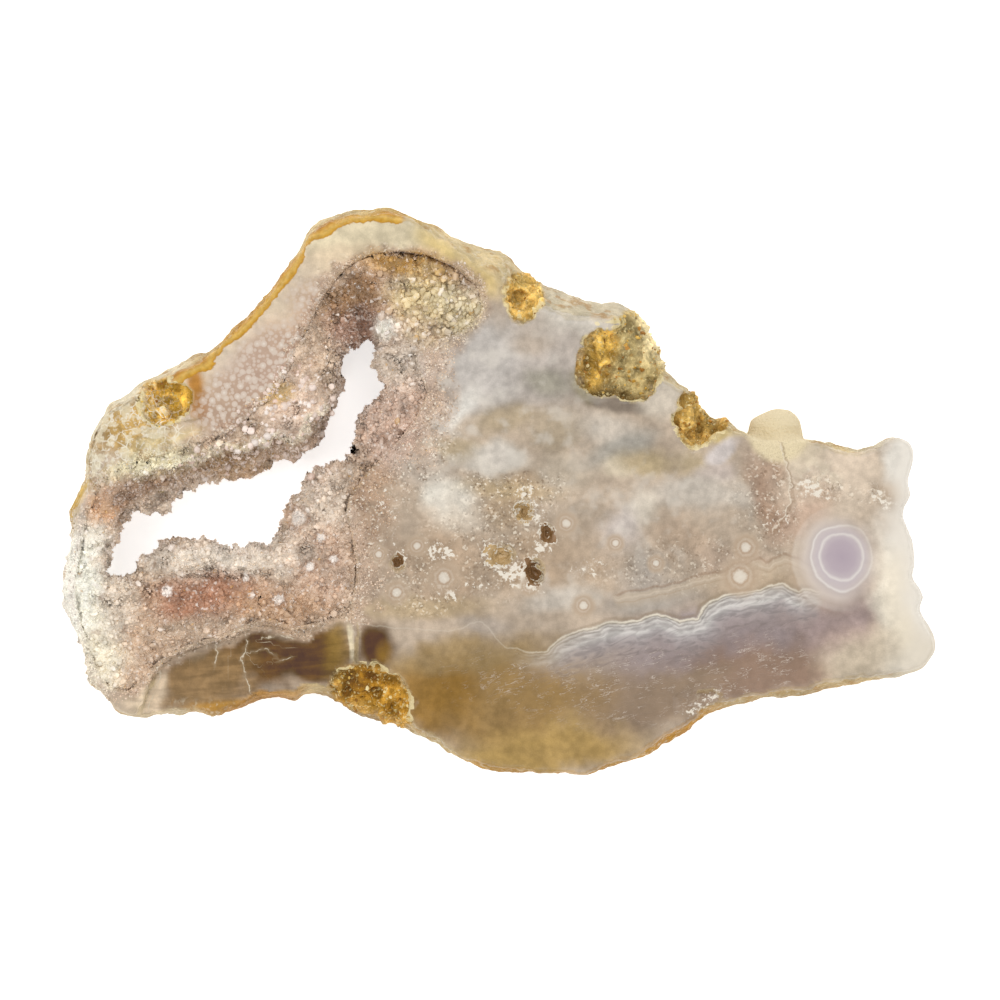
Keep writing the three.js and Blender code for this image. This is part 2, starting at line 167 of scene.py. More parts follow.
@dataclass(frozen=True)
class Patch:
    """A soft-edged oval area of one colour or one roughness on the stone."""

    name: str
    colour: str
    centre: Pair
    half: Pair
    turn: float = 0.0
    strength: float = 1.0
    soft: float = 0.5
    wander: float = 1.8

    def cover(self, points: Array, drift: Array) -> Array:
        """Says how strongly the patch covers each place.

        Args:
            points: Places in millimetres.
            drift: Random sideways shifts from -1 to 1, which keep the edge from looking drawn.

        Returns:
            Shares from 0 to the patch's strength.
        """
        wander = min(self.wander, 0.4 * min(self.half))
        flat = points[:, :2] + wander * drift - np.array(self.centre)
        angle = math.radians(self.turn)
        along = flat[:, 0] * math.cos(angle) + flat[:, 1] * math.sin(angle)
        across = -flat[:, 0] * math.sin(angle) + flat[:, 1] * math.cos(angle)
        reach = np.hypot(along / self.half[0], across / self.half[1])
        return self.strength * smooth(1.0 + self.soft, 1.0 - self.soft, reach)


@dataclass(frozen=True)
class Line:
    """A drawn line on the polished face, as the points that it runs through."""

    name: str
    points: Sequence[Pair]
    closed: bool = False


def beside(lines: Sequence[Line], points: Array, fade: float = 1.5) -> tuple[Array, Array]:
    """Measures places against the nearest of some lines.

    Args:
        lines: The lines.
        points: Places in millimetres.
        fade: Length over which the weight falls off beyond a line's ends.

    Returns:
        The distance, positive to the left of the line's direction, and a weight that is 1 beside the
        line and falls to 0 beyond its ends.
    """
    best = np.full(len(points), np.inf)
    signed = np.zeros(len(points))
    weight = np.zeros(len(points))
    flat = points[:, :2]
    for line in lines:
        route = np.array(line.points + ([line.points[0]] if line.closed else []), dtype=float)
        last = len(route) - 2
        for i, (start, end) in enumerate(zip(route[:-1], route[1:])):
            span = end - start
            length = float(np.hypot(*span))
            free = ((flat - start) @ span) / length**2
            share = np.clip(free, 0.0, 1.0)
            offset = flat - (start + share[:, None] * span)
            distance = np.hypot(offset[:, 0], offset[:, 1])
            side = np.sign(span[0] * (flat[:, 1] - start[1]) - span[1] * (flat[:, 0] - start[0]))
            over = np.zeros(len(points))
            if not line.closed and i == 0:
                over = np.maximum(over, -free * length)
            if not line.closed and i == last:
                over = np.maximum(over, (free - 1.0) * length)
            nearer = distance < best - 1e-9
            best = np.where(nearer, distance, best)
            signed = np.where(nearer, distance * np.where(side == 0, 1, side), signed)
            weight = np.where(nearer, smooth(fade, 0.0, over), weight)
    return signed, weight


def inside(outline: Line, points: Array) -> Array:
    """Distance to a closed outline, positive inside it.

    Args:
        outline: The closed outline.
        points: Places in millimetres.

    Returns:
        Signed distances in millimetres.
    """
    route = np.array(outline.points, dtype=float)
    x, y = points[:, 0], points[:, 1]
    odd = np.zeros(len(points), dtype=bool)
    for (x0, y0), (x1, y1) in zip(route, np.roll(route, -1, axis=0)):
        crosses = (y0 > y) != (y1 > y)
        odd ^= crosses & (x < (x1 - x0) * (y - y0) / (y1 - y0 + 1e-12) + x0)
    distance = np.abs(beside([outline], points)[0])
    return np.where(odd, distance, -distance)


class Graph:
    """A procedural material and short ways to add nodes to it. Sizes are in millimetres."""

    def __init__(self, name: str) -> None:
        """Starts an empty material.

        Args:
            name: Name of the material.
        """
        self.material = bpy.data.materials.new(name)
        self.material.use_nodes = True
        self.tree = self.material.node_tree
        self.tree.nodes.clear()
        place = self.node("ShaderNodeTexCoord").outputs["Object"]
        self.place = self.scaled(place, (TO_MM, TO_MM, TO_MM))

    def node(self, kind: str, **settings: object) -> bpy.types.Node:
        """Adds a node with its settings."""
        made = self.tree.nodes.new(kind)
        for key, value in settings.items():
            setattr(made, key, value)
        return made

    def feed(self, socket: Socket, value: object) -> None:
        """Links a socket to another one, or sets its value."""
        if isinstance(value, bpy.types.NodeSocket):
            self.tree.links.new(value, socket)
        else:
            socket.default_value = value

    def scaled(self, vector: Socket, factors: tuple[float, float, float], turn: float = 0.0) -> Socket:
        """Turns places about Z by degrees, then stretches them along each axis."""
        if turn:
            spin = self.node("ShaderNodeVectorRotate", rotation_type="Z_AXIS")
            self.feed(spin.inputs["Vector"], vector)
            spin.inputs["Angle"].default_value = math.radians(turn)
            vector = spin.outputs["Vector"]
        made = self.node("ShaderNodeVectorMath", operation="MULTIPLY")
        self.feed(made.inputs[0], vector)
        made.inputs[1].default_value = factors
        return made.outputs[0]

    def attribute(self, name: str) -> Socket:
        """A number stored on the mesh's points."""
        return self.node("ShaderNodeAttribute", attribute_name=name).outputs["Fac"]

    def colours(self, name: str) -> Socket:
        """A colour stored on the mesh's points."""
        return self.node("ShaderNodeAttribute", attribute_name=name).outputs["Color"]

    def noise(self, size: float, detail: float = 2.0, at: Socket | None = None, bend: float = 0.0) -> Socket:
        """Soft random values round one half, with lumps of a size."""
        made = self.node("ShaderNodeTexNoise")
        self.feed(made.inputs["Vector"], at or self.place)
        made.inputs["Scale"].default_value = 1.0 / size
        made.inputs["Detail"].default_value = detail
        made.inputs["Distortion"].default_value = bend
        return made.outputs["Fac"]

    def cells(self, size: float, at: Socket | None = None, feature: str = "F1", output: str = "Distance") -> Socket:
        """Voronoi cells of a size."""
        made = self.node("ShaderNodeTexVoronoi", feature=feature)
        self.feed(made.inputs["Vector"], at or self.place)
        made.inputs["Scale"].default_value = 1.0 / size
        return made.outputs[output]

    def maths(self, operation: str, first: object, second: object = 0.0, third: object = 0.5,
              clamp: bool = False) -> Socket:
        """One step of arithmetic."""
        made = self.node("ShaderNodeMath", operation=operation, use_clamp=clamp)
        for socket, value in zip(made.inputs, (first, second, third)):
            self.feed(socket, value)
        return made.outputs[0]

    def step(self, value: Socket, low: float, high: float) -> Socket:
        """Rises smoothly from 0 at low to 1 at high."""
        made = self.node("ShaderNodeMapRange", interpolation_type="SMOOTHSTEP")
        self.feed(made.inputs["Value"], value)
        flipped = low > high
        made.inputs["From Min"].default_value = high if flipped else low
        made.inputs["From Max"].default_value = low if flipped else high
        made.inputs["To Min"].default_value = 1.0 if flipped else 0.0
        made.inputs["To Max"].default_value = 0.0 if flipped else 1.0
        return made.outputs["Result"]

    def bump_between(self, value: Socket, middle: float, width: float) -> Socket:
        """A soft stripe where a value is near its middle."""
        away = self.maths("ABSOLUTE", self.maths("SUBTRACT", value, middle))
        return self.step(away, width, 0.0)

    def product(self, *values: object) -> Socket:
        """Multiplies several numbers."""
        result = values[0]
        for value in values[1:]:
            result = self.maths("MULTIPLY", result, value)
        return result

    def mix(self, share: object, under: object, over: object, blend: str = "MIX") -> Socket:
        """Lays one colour over another."""
        made = self.node("ShaderNodeMix", data_type="RGBA", blend_type=blend)
        self.feed(made.inputs["Factor"], share)
        self.feed(made.inputs["A"], paint(under) if isinstance(under, str) else under)
        self.feed(made.inputs["B"], paint(over) if isinstance(over, str) else over)
        return made.outputs["Result"]

    def ramp(self, value: Socket, stops: Sequence[tuple[float, str]]) -> Socket:
        """Colours along a value, from hex codes at places from 0 to 1."""
        made = self.node("ShaderNodeValToRGB")
        elements = made.color_ramp.elements
        while len(elements) > 1:
            elements.remove(elements[-1])
        elements[0].position = stops[0][0]
        elements[0].color = paint(stops[0][1])
        for position, code in stops[1:]:
            elements.new(position).color = paint(code)
        self.feed(made.inputs["Fac"], value)
        return made.outputs["Color"]

    def shade(self, colour: Socket, value: Socket, darkest: float, lightest: float) -> Socket:
        """Darkens and lightens a colour by a value from 0 to 1."""
        made = self.node("ShaderNodeMapRange")
        self.feed(made.inputs["Value"], value)
        made.inputs["To Min"].default_value = darkest
        made.inputs["To Max"].default_value = lightest
        grey = self.node("ShaderNodeCombineColor")
        for socket in grey.inputs:
            self.feed(socket, made.outputs["Result"])
        return self.mix(1.0, colour, grey.outputs[0], "MULTIPLY")

    def sugar(self, colour: Socket) -> Socket:
        """Crumbly quartz: lights and darks of about a millimetre, white clusters and brown pits."""
        colour = self.shade(colour, self.noise(1.3, 4.0), 0.74, 1.26)
        colour = self.mix(self.product(self.step(self.noise(0.85, 5.0), 0.56, 0.7), 0.5), colour, "#f4ebe3")
        pits = self.step(self.noise(1.9, 5.0), 0.42, 0.3)
        return self.mix(self.product(pits, 0.4), colour, "#8f6a4e")

    def bump(self, height: Socket, depth: float, under: Socket | None = None) -> Socket:
        """Fine relief of a depth in millimetres."""
        made = self.node("ShaderNodeBump")
        self.feed(made.inputs["Height"], height)
        made.inputs["Distance"].default_value = depth * MM
        if under is not None:
            self.feed(made.inputs["Normal"], under)
        return made.outputs["Normal"]

    def close(self, colour: Socket, roughness: object, normal: Socket | None, **constants: object) -> bpy.types.Material:
        """Ends the material in one surface shader.

        Args:
            colour: Base colour.
            roughness: Roughness, a number or a socket.
            normal: Relief, if there is any.
            **constants: Values for the shader's own sockets, with underscores for spaces.

        Returns:
            The finished material.
        """
        shader = self.node("ShaderNodeBsdfPrincipled")
        self.feed(shader.inputs["Base Color"], colour)
        self.feed(shader.inputs["Roughness"], roughness)
        if normal is not None:
            self.feed(shader.inputs["Normal"], normal)
        for key, value in constants.items():
            shader.inputs[key.replace("_", " ")].default_value = value
        output = self.node("ShaderNodeOutputMaterial")
        self.tree.links.new(shader.outputs[0], output.inputs["Surface"])
        return self.material


class Piece:
    """A mesh object with its points at hand as an array in millimetres."""

    def __init__(self, piece: bpy.types.Object) -> None:
        """Takes over an object whose mesh is in metres."""
        self.object = piece
        self.read()

    def read(self) -> None:
        """Reads the points and the directions that they face."""
        mesh = self.object.data
        count = len(mesh.vertices)
        points = np.empty(count * 3)
        mesh.vertices.foreach_get("co", points)
        self.points = points.reshape(-1, 3) * TO_MM
        facing = np.empty(count * 3)
        mesh.vertices.foreach_get("normal", facing)
        self.facing = facing.reshape(-1, 3)

    def write(self) -> None:
        """Writes the points back and reads them again with their new directions."""
        mesh = self.object.data
        mesh.vertices.foreach_set("co", (self.points * MM).ravel())
        mesh.update()
        self.read()

    def soften(self, weight: Array, rounds: int) -> None:
        """Moves points towards the mean of their neighbours.

        Args:
            weight: How far each point may move, from 0 to 1.
            rounds: How many times.
        """
        mesh = self.object.data
        edges = np.empty(len(mesh.edges) * 2, dtype=np.int64)
        mesh.edges.foreach_get("vertices", edges)
        first, second = edges.reshape(-1, 2).T
        count = len(self.points)
        degree = np.bincount(first, minlength=count) + np.bincount(second, minlength=count)
        for _ in range(rounds):
            mean = np.empty_like(self.points)
            for axis in range(3):
                values = self.points[:, axis]
                total = np.bincount(first, values[second], count) + np.bincount(second, values[first], count)
                mean[:, axis] = total / np.maximum(degree, 1)
            self.points += weight[:, None] * (mean - self.points)
        self.write()

    def push(self, amount: Array) -> None:
        """Moves points along the directions that they face, by millimetres."""
        self.points += self.facing * amount[:, None]
        self.write()

    def note(self, name: str, values: Array) -> None:
        """Stores a number on each point."""
        made = self.object.data.attributes.new(name, "FLOAT", "POINT")
        made.data.foreach_set("value", np.asarray(values, dtype=np.float32))

    def tint(self, name: str, colours: Array) -> None:
        """Stores a colour on each point."""
        made = self.object.data.attributes.new(name, "FLOAT_COLOR", "POINT")
        padded = np.concatenate([colours[:, :3], np.ones((len(colours), 1))], axis=1)
        made.data.foreach_set("color", padded.astype(np.float32).ravel())

    def dress(self, material: bpy.types.Material, slot: Slot, smooth_faces: bool) -> None:
        """Gives the piece its finish and its place on the body."""
        mesh = self.object.data
        mesh.materials.clear()
        mesh.materials.append(material)
        mesh.polygons.foreach_set("use_smooth", [smooth_faces] * len(mesh.polygons))
        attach(self.object, "root")


def add_object(name: str, mesh: bpy.types.Mesh) -> bpy.types.Object:
    """Puts a mesh into the scene under a name."""
    made = bpy.data.objects.new(name, mesh)
    bpy.context.scene.collection.objects.link(made)
    return made


def refined(name: str, node: Node, voxel: float, back_ratio: float | None = None) -> Piece:
    """Makes an even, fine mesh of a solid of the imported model.

    Args:
        name: Name of the new object.
        node: The solid.
        voxel: Size of the new faces in millimetres.
        back_ratio: Share of the faces to keep on the flat back, or None to keep all.

    Returns:
        The new piece, with its points in millimetres.
    """
    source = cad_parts[node.value]
    mesh = source.data.copy()
    mesh.transform(source.matrix_world)
    mesh.materials.clear()
    rough_cut = add_object(name + "_cut", mesh)
    even = rough_cut.modifiers.new("even", "REMESH")
    even.mode = "VOXEL"
    even.voxel_size = voxel * MM
    fine = baked(rough_cut, name)
    if back_ratio is not None:
        group = fine.vertex_groups.new(name="back")
        heights = [vertex.co.z * TO_MM for vertex in fine.data.vertices]
        group.add([i for i, height in enumerate(heights) if height < 0.02], 1.0, "REPLACE")
        thin = fine.modifiers.new("thin", "DECIMATE")
        thin.ratio = back_ratio
        thin.vertex_group = "back"
        thinned = baked(fine, name)
        thinned.vertex_groups.clear()
        fine = thinned
    return Piece(fine)


def baked(source: bpy.types.Object, name: str) -> bpy.types.Object:
    """Turns an object with modifiers into a plain one and removes the first."""
    depsgraph = bpy.context.evaluated_depsgraph_get()
    mesh = bpy.data.meshes.new_from_object(source.evaluated_get(depsgraph))
    old = source.data
    bpy.data.objects.remove(source)
    bpy.data.meshes.remove(old)
    mesh.name = name
    return add_object(name, mesh)


# Paints of the polished face, from the photograph's light: name, colour, centre, half sizes, turn.
FACE_PATCHES = [
    Patch("upper left band", "#dccbb4", (-40.5, 28.5), (20.4, 8.8), 47.0, 1.0, 0.4),
    Patch("crown cream", "#dbceb0", (-21.2, 43.3), (14.5, 5.1), -5.0, 0.9, 0.45),
    Patch("crown, warm middle", "#d8c3a6", (-22.1, 39.2), (10.2, 2.4), 0.0, 0.7, 0.5),
    Patch("crown right gold", "#d6bd80", (-6.5, 39.2), (8.5, 3.4), -35.0, 0.85, 0.5),
    Patch("flushed ground under the bubbles", "#c5a994", (-32.6, 19.5), (12.6, 8.8), 52.0, 0.9, 0.45),
    Patch("pale bubbles near the band", "#d8c8bc", (-41.1, 20.5), (5.8, 4.4), 50.0, 0.7, 0.5),
    Patch("lilac grey field", "#bfb9b4", (-3.4, 21.7), (12.9, 7.8), -5.0, 0.95, 0.5),
    Patch("grey towards the large pocket", "#b3aaa3", (9.5, 21.2), (6.8, 7.8), 0.0, 0.85, 0.5),
    Patch("brown veil in the grey", "#b3a494", (5.4, 25.2), (3.7, 2.0), 0.0, 0.7, 0.6),
    Patch("pale border of the grey", "#cdc6c2", (-14.3, 21.5), (2.0, 4.4), -30.0, 0.8, 0.6),
    Patch("green-grey smoke", "#a5a091", (8.2, 18.4), (3.7, 2.0), -20.0, 0.8, 0.6),
    Patch("dark grey crescent", "#85796d", (19.0, 15.4), (5.8, 1.7), -10.0, 1.0, 0.35),
    Patch("dark grey crescent, left", "#8f8669", (13.9, 17.8), (1.7, 2.7), 30.0, 0.8, 0.5),
    Patch("white streak", "#dfdbd4", (-8.2, 13.3), (5.1, 1.9), 38.0, 1.0, 0.6),
    Patch("white streak, low", "#d6d0c6", (-11.6, 9.3), (1.5, 3.7), 15.0, 0.7, 0.6),
    Patch("brown right of the streak", "#b2a188", (1.0, 12.3), (4.8, 2.4), 5.0, 0.9, 0.5),
    Patch("brown below the streak", "#b7a68a", (-7.5, 7.9), (4.4, 2.0), 0.0, 0.8, 0.5),
    Patch("pale mist left", "#cabeb1", (-12.9, 3.8), (4.4, 3.1), 0.0, 0.8, 0.6),
    Patch("white cloud", "#cdc5ba", (-1.4, 5.5), (5.3, 3.2), -8.0, 1.0, 0.4),
    Patch("white cloud, bright heart", "#d5cdc4", (0.0, 6.2), (2.7, 1.9), -8.0, 0.7, 0.6),
    Patch("shadow below the cloud", "#b29c83", (3.4, 2.3), (5.1, 1.2), 5.0, 0.9, 0.5),
    Patch("white cloud, low left", "#e1dbd0", (-9.2, -1.6), (3.9, 3.4), 0.0, 1.0, 0.5),
    Patch("white cloud, lower edge", "#d2c8ba", (-7.5, -4.7), (4.4, 2.4), 0.0, 0.8, 0.5),
    Patch("brown between the clouds", "#b59f86", (0.3, -2.6), (3.7, 2.7), 0.0, 0.9, 0.5),
    Patch("field right of the cloud", "#b8ab9a", (11.2, 4.2), (5.1, 3.1), 0.0, 0.85, 0.5),
    Patch("brown upper middle", "#ab9c86", (9.2, 10.6), (4.4, 3.1), 20.0, 0.8, 0.6),
    Patch("pale below the crescent", "#c4baae", (18.4, 10.6), (5.8, 2.7), -12.0, 0.9, 0.5),
    Patch("grey wash", "#a9a59d", (20.7, 7.6), (5.8, 2.0), 24.0, 0.8, 0.6),
    Patch("cream speckle", "#cbbfa9", (20.1, 4.2), (2.4, 1.7), 0.0, 0.8, 0.6),
    Patch("saw-marked field", "#cfc8be", (12.6, 29.7), (8.5, 3.1), -16.0, 0.85, 0.5),
    Patch("field right of the large pocket", "#c6bcae", (26.9, 17.1), (3.7, 4.1), -35.0, 0.9, 0.5),
    Patch("tan-olive pool", "#b6a482", (25.2, 5.2), (4.4, 2.2), -5.0, 0.85, 0.7),
    Patch("olive by the shoulder pocket", "#b3a284", (33.3, 4.5), (3.1, 2.4), -30.0, 0.8, 0.7),
    Patch("olive right of the shoulder pocket", "#bda872", (37.7, 9.6), (3.7, 1.0), 10.0, 0.9, 0.5),
    Patch("lilac egg", "#c8c0be", (37.7, 6.9), (3.4, 1.7), 36.0, 0.9, 0.3),
    Patch("lilac below the egg", "#bdb1ab", (36.4, 3.1), (3.7, 1.7), 10.0, 0.8, 0.5),
    Patch("pale mist right", "#c9c0b5", (34.0, -0.3), (8.8, 2.4), 2.0, 0.9, 0.6),
    Patch("bright speckle", "#d6cdbf", (23.8, -3.3), (3.4, 2.4), 30.0, 0.85, 0.6),
    Patch("pale cloud above the lace", "#cac0ba", (20.7, -7.4), (3.7, 4.8), -12.0, 0.95, 0.5),
    Patch("grey below the pale cloud", "#ada59e", (23.1, -13.5), (4.1, 3.7), 20.0, 0.8, 0.5),
    Patch("brown middle right", "#b5a08c", (30.9, -8.1), (4.4, 3.7), 0.0, 0.85, 0.5),
    Patch("rosy brown above the tan lace", "#b8a391", (39.1, -11.5), (6.8, 3.7), 0.0, 0.8, 0.5),
    Patch("brown beside the fracture", "#a98d79", (45.6, 0.1), (3.1, 7.5), 8.0, 0.95, 0.45),
    Patch("dark brown at the fracture", "#9a7c66", (47.3, 3.8), (1.0, 3.7), 14.0, 0.7, 0.5),
    Patch("pale left of the brown", "#bba998", (42.8, 6.9), (2.4, 3.1), 0.0, 0.7, 0.6),
    Patch("right beige", "#d6c5b2", (58.1, 2.8), (10.5, 6.1), 4.0, 0.95, 0.5),
    Patch("right beige, cream top", "#dfd0b8", (51.0, 7.2), (4.1, 3.1), 0.0, 0.8, 0.5),
    Patch("rosy patch by the fracture", "#cfb7a3", (53.0, -0.9), (3.7, 2.7), 0.0, 0.6, 0.6),
    Patch("rosy above the eye", "#c4a794", (51.0, -4.7), (4.4, 2.4), 30.0, 0.7, 0.6),
    Patch("golden crystalline strip", "#bfa780", (1.4, 0.4), (7.5, 1.5), -3.0, 0.7, 0.8, 0.9),
    Patch("brown round the pits", "#b39c84", (5.1, -10.8), (7.5, 5.8), 0.0, 0.85, 0.5),
    Patch("brown, low left of centre", "#b19a83", (-10.2, -11.5), (7.8, 7.5), 0.0, 0.8, 0.6),
    Patch("brown, low right of centre", "#b7a38e", (16.3, -12.5), (7.1, 5.8), 0.0, 0.8, 0.6),
    Patch("milky pool by the lace", "#c6beb4", (10.2, -18.3), (5.8, 2.0), 10.0, 0.8, 0.6),
    Patch("ring pool by the lace", "#b9aca0", (-2.7, -22.4), (4.1, 1.7), 0.0, 0.8, 0.5),
    Patch("grey above the lace", "#a39a92", (25.5, -17.9), (8.8, 2.2), 12.0, 0.85, 0.5),
    Patch("tan above the lace, left", "#b9a485", (-13.6, -19.3), (11.2, 2.0), 3.0, 0.85, 0.5),
    Patch("tan above the lace, right", "#bda890", (43.9, -14.9), (8.2, 2.4), 4.0, 0.85, 0.5),
    Patch("mauve chalcedony", "#967e6e", (42.5, -28.5), (19.0, 6.5), 7.0, 1.0, 0.4),
    Patch("mauve, lower left", "#96826f", (23.8, -33.6), (13.9, 6.8), 14.0, 1.0, 0.4),
    Patch("mauve, deep", "#8d7466", (37.4, -27.1), (8.8, 2.0), 10.0, 0.7, 0.5),
    Patch("honey", "#9a7e54", (0.0, -34.9), (16.0, 8.5), 0.0, 1.0, 0.4),
    Patch("honey, low", "#ab8e58", (7.7, -43.8), (15.3, 4.4), 4.0, 0.95, 0.5),
    Patch("honey, glowing foot", "#bb9c62", (0.0, -45.8), (8.5, 1.7), -8.0, 0.7, 0.5),
    Patch("honey, left", "#94713a", (-12.6, -34.4), (7.8, 6.8), 0.0, 0.9, 0.5),
    Patch("under the lace, left", "#98815a", (-6.0, -27.6), (13.9, 2.6), 4.0, 0.7, 0.5),
    Patch("dark olive by the step", "#4c2f00", (-21.4, -26.8), (3.4, 4.8), 0.0, 0.95, 0.45),
    Patch("golden end of the olive", "#98763a", (-19.7, -27.1), (1.2, 1.7), 0.0, 0.6, 0.9),
    Patch("lilac band", "#9c9092", (35.0, -23.7), (19.0, 4.6), 9.0, 0.9, 0.5),
    Patch("lilac band, right", "#a08e8c", (56.4, -20.0), (8.2, 4.4), 12.0, 0.9, 0.5),
    Patch("mauve right of the band", "#b29d93", (58.1, -25.1), (5.8, 3.1), 8.0, 0.8, 0.5),
    Patch("facet, middle", "#654a2c", (-38.8, -28.5), (13.9, 5.4), 2.0, 1.0, 0.4),
    Patch("facet, left", "#927652", (-51.0, -31.9), (7.8, 5.1), 10.0, 0.95, 0.5),
    Patch("facet, grey-violet shade", "#93806f", (-37.0, -21.8), (10.5, 1.7), 6.0, 0.95, 0.4),
    Patch("facet, grey mist", "#a89881", (-52.7, -25.4), (6.8, 2.7), 24.0, 0.8, 0.5),
    Patch("facet, golden right end", "#8f733c", (-28.2, -26.1), (2.0, 4.1), 0.0, 0.8, 0.9),
    # Painted highlight on the broken edge of the step by the facet.
    Patch("pale blade at the step", "#e0d3b6", (-25.4, -23.8), (0.4, 5.2), 4.0, 0.85, 0.3, 0.5),
    Patch("facet, cream end", "#d6c2a9", (-60.2, -31.9), (3.4, 6.5), -18.0, 1.0, 0.35),
    Patch("facet, amber foot", "#b98a3e", (-45.1, -36.1), (7.8, 1.2), 5.0, 0.9, 0.5),
    Patch("milky right edge", "#eae3d9", (70.0, -16.2), (6.1, 16.3), 4.0, 1.0, 0.4),
    Patch("milky upper right", "#e9e3da", (68.9, 5.2), (4.1, 6.8), 0.0, 1.0, 0.45),
    Patch("milky corner", "#e2d9ca", (70.0, -26.8), (7.1, 5.4), 0.0, 1.0, 0.5),
    Patch("yellowish flush at the right", "#e9dcc2", (66.8, -18.3), (2.7, 7.8), 8.0, 0.5, 0.8),
    Patch("soft corner below", "#cbbda8", (60.5, -27.5), (6.8, 4.1), 6.0, 0.85, 0.5),
    Patch("translucent shoulder", "#caa563", (-62.9, 11.5), (7.5, 4.4), 30.0, 0.95, 0.5),
    Patch("cream chip", "#e4d0a2", (-56.4, 7.6), (6.5, 2.7), 8.0, 1.0, 0.35),
    Patch("brown aureole", "#b07a33", (-51.3, 16.6), (1.7, 4.8), 4.0, 0.95, 0.45),
    Patch("tan field under the aureole", "#d0b88e", (-52.4, 9.6), (2.0, 2.4), 0.0, 0.7, 0.5),
    Patch("shelf edge", "#cdbb9a", (-56.1, 2.5), (9.2, 1.7), 12.0, 0.8, 0.5),
    Patch("yellow tip", "#d4ac4c", (-72.8, -1.2), (1.7, 3.6), -20.0, 0.95, 0.3, 0.6),
    Patch("pale left rim", "#e8e0d6", (-72.1, -14.0), (3.4, 13.9), 4.0, 1.0, 0.5),
]

# Paints of the rough rind, which is seen round the sides and where it flares outwards
RIND_PATCHES = [
    Patch("pale upper left rind", "#e0d1b2", (-62.0, 18.0), (12.0, 6.0), 40.0, 0.9),
    Patch("golden upper left rind", "#c99f58", (-42.0, 32.0), (12.0, 5.0), 48.0, 0.9),
    Patch("crown rind", "#dcc597", (-30.0, 46.0), (6.0, 4.0), 20.0, 0.9),
    Patch("golden top rind", "#d0ac63", (-15.0, 47.5), (9.0, 3.0), 0.0, 0.8),
    Patch("flared rind, left", "#dcc79b", (-2.0, 41.0), (9.0, 6.0), -30.0, 0.9),
    Patch("flared rind, right", "#d2c6ad", (16.0, 32.0), (13.0, 5.0), -10.0, 0.9),
    Patch("shoulder rind", "#cdbb97", (29.0, 22.0), (7.0, 8.0), -40.0, 0.8),
    Patch("milky right rind", "#eee8de", (70.0, -8.0), (9.0, 24.0), 0.0, 0.95),
    Patch("lower right rind", "#bfa271", (46.0, -35.5), (18.0, 3.4), 10.0, 0.9),
    Patch("golden lower right rind", "#bd8c3c", (29.0, -41.5), (8.0, 5.0), 30.0, 1.0),
    Patch("golden belly", "#c09141", (8.0, -47.5), (22.0, 4.0), 0.0, 0.9),
    Patch("smooth bulge", "#a68552", (-23.0, -37.6), (9.0, 3.6), -18.0, 0.9),
    Patch("orange lower left edge", "#b98747", (-42.0, -35.6), (9.0, 3.0), 0.0, 0.9),
    Patch("lower left rind", "#d3c0a2", (-62.0, -36.0), (10.0, 5.0), 0.0, 0.9),
    Patch("white left rind", "#e9e1d7", (-73.0, -20.0), (6.0, 16.0), 0.0, 0.95),
    Patch("yellow tip", "#d2ab52", (-72.8, -1.5), (3.0, 4.4), -20.0, 1.0),
    Patch("ball", "#ecdcb9", (47.1, 9.9), (5.6, 5.6), 0.0, 1.0, 0.3, 0.2),
]

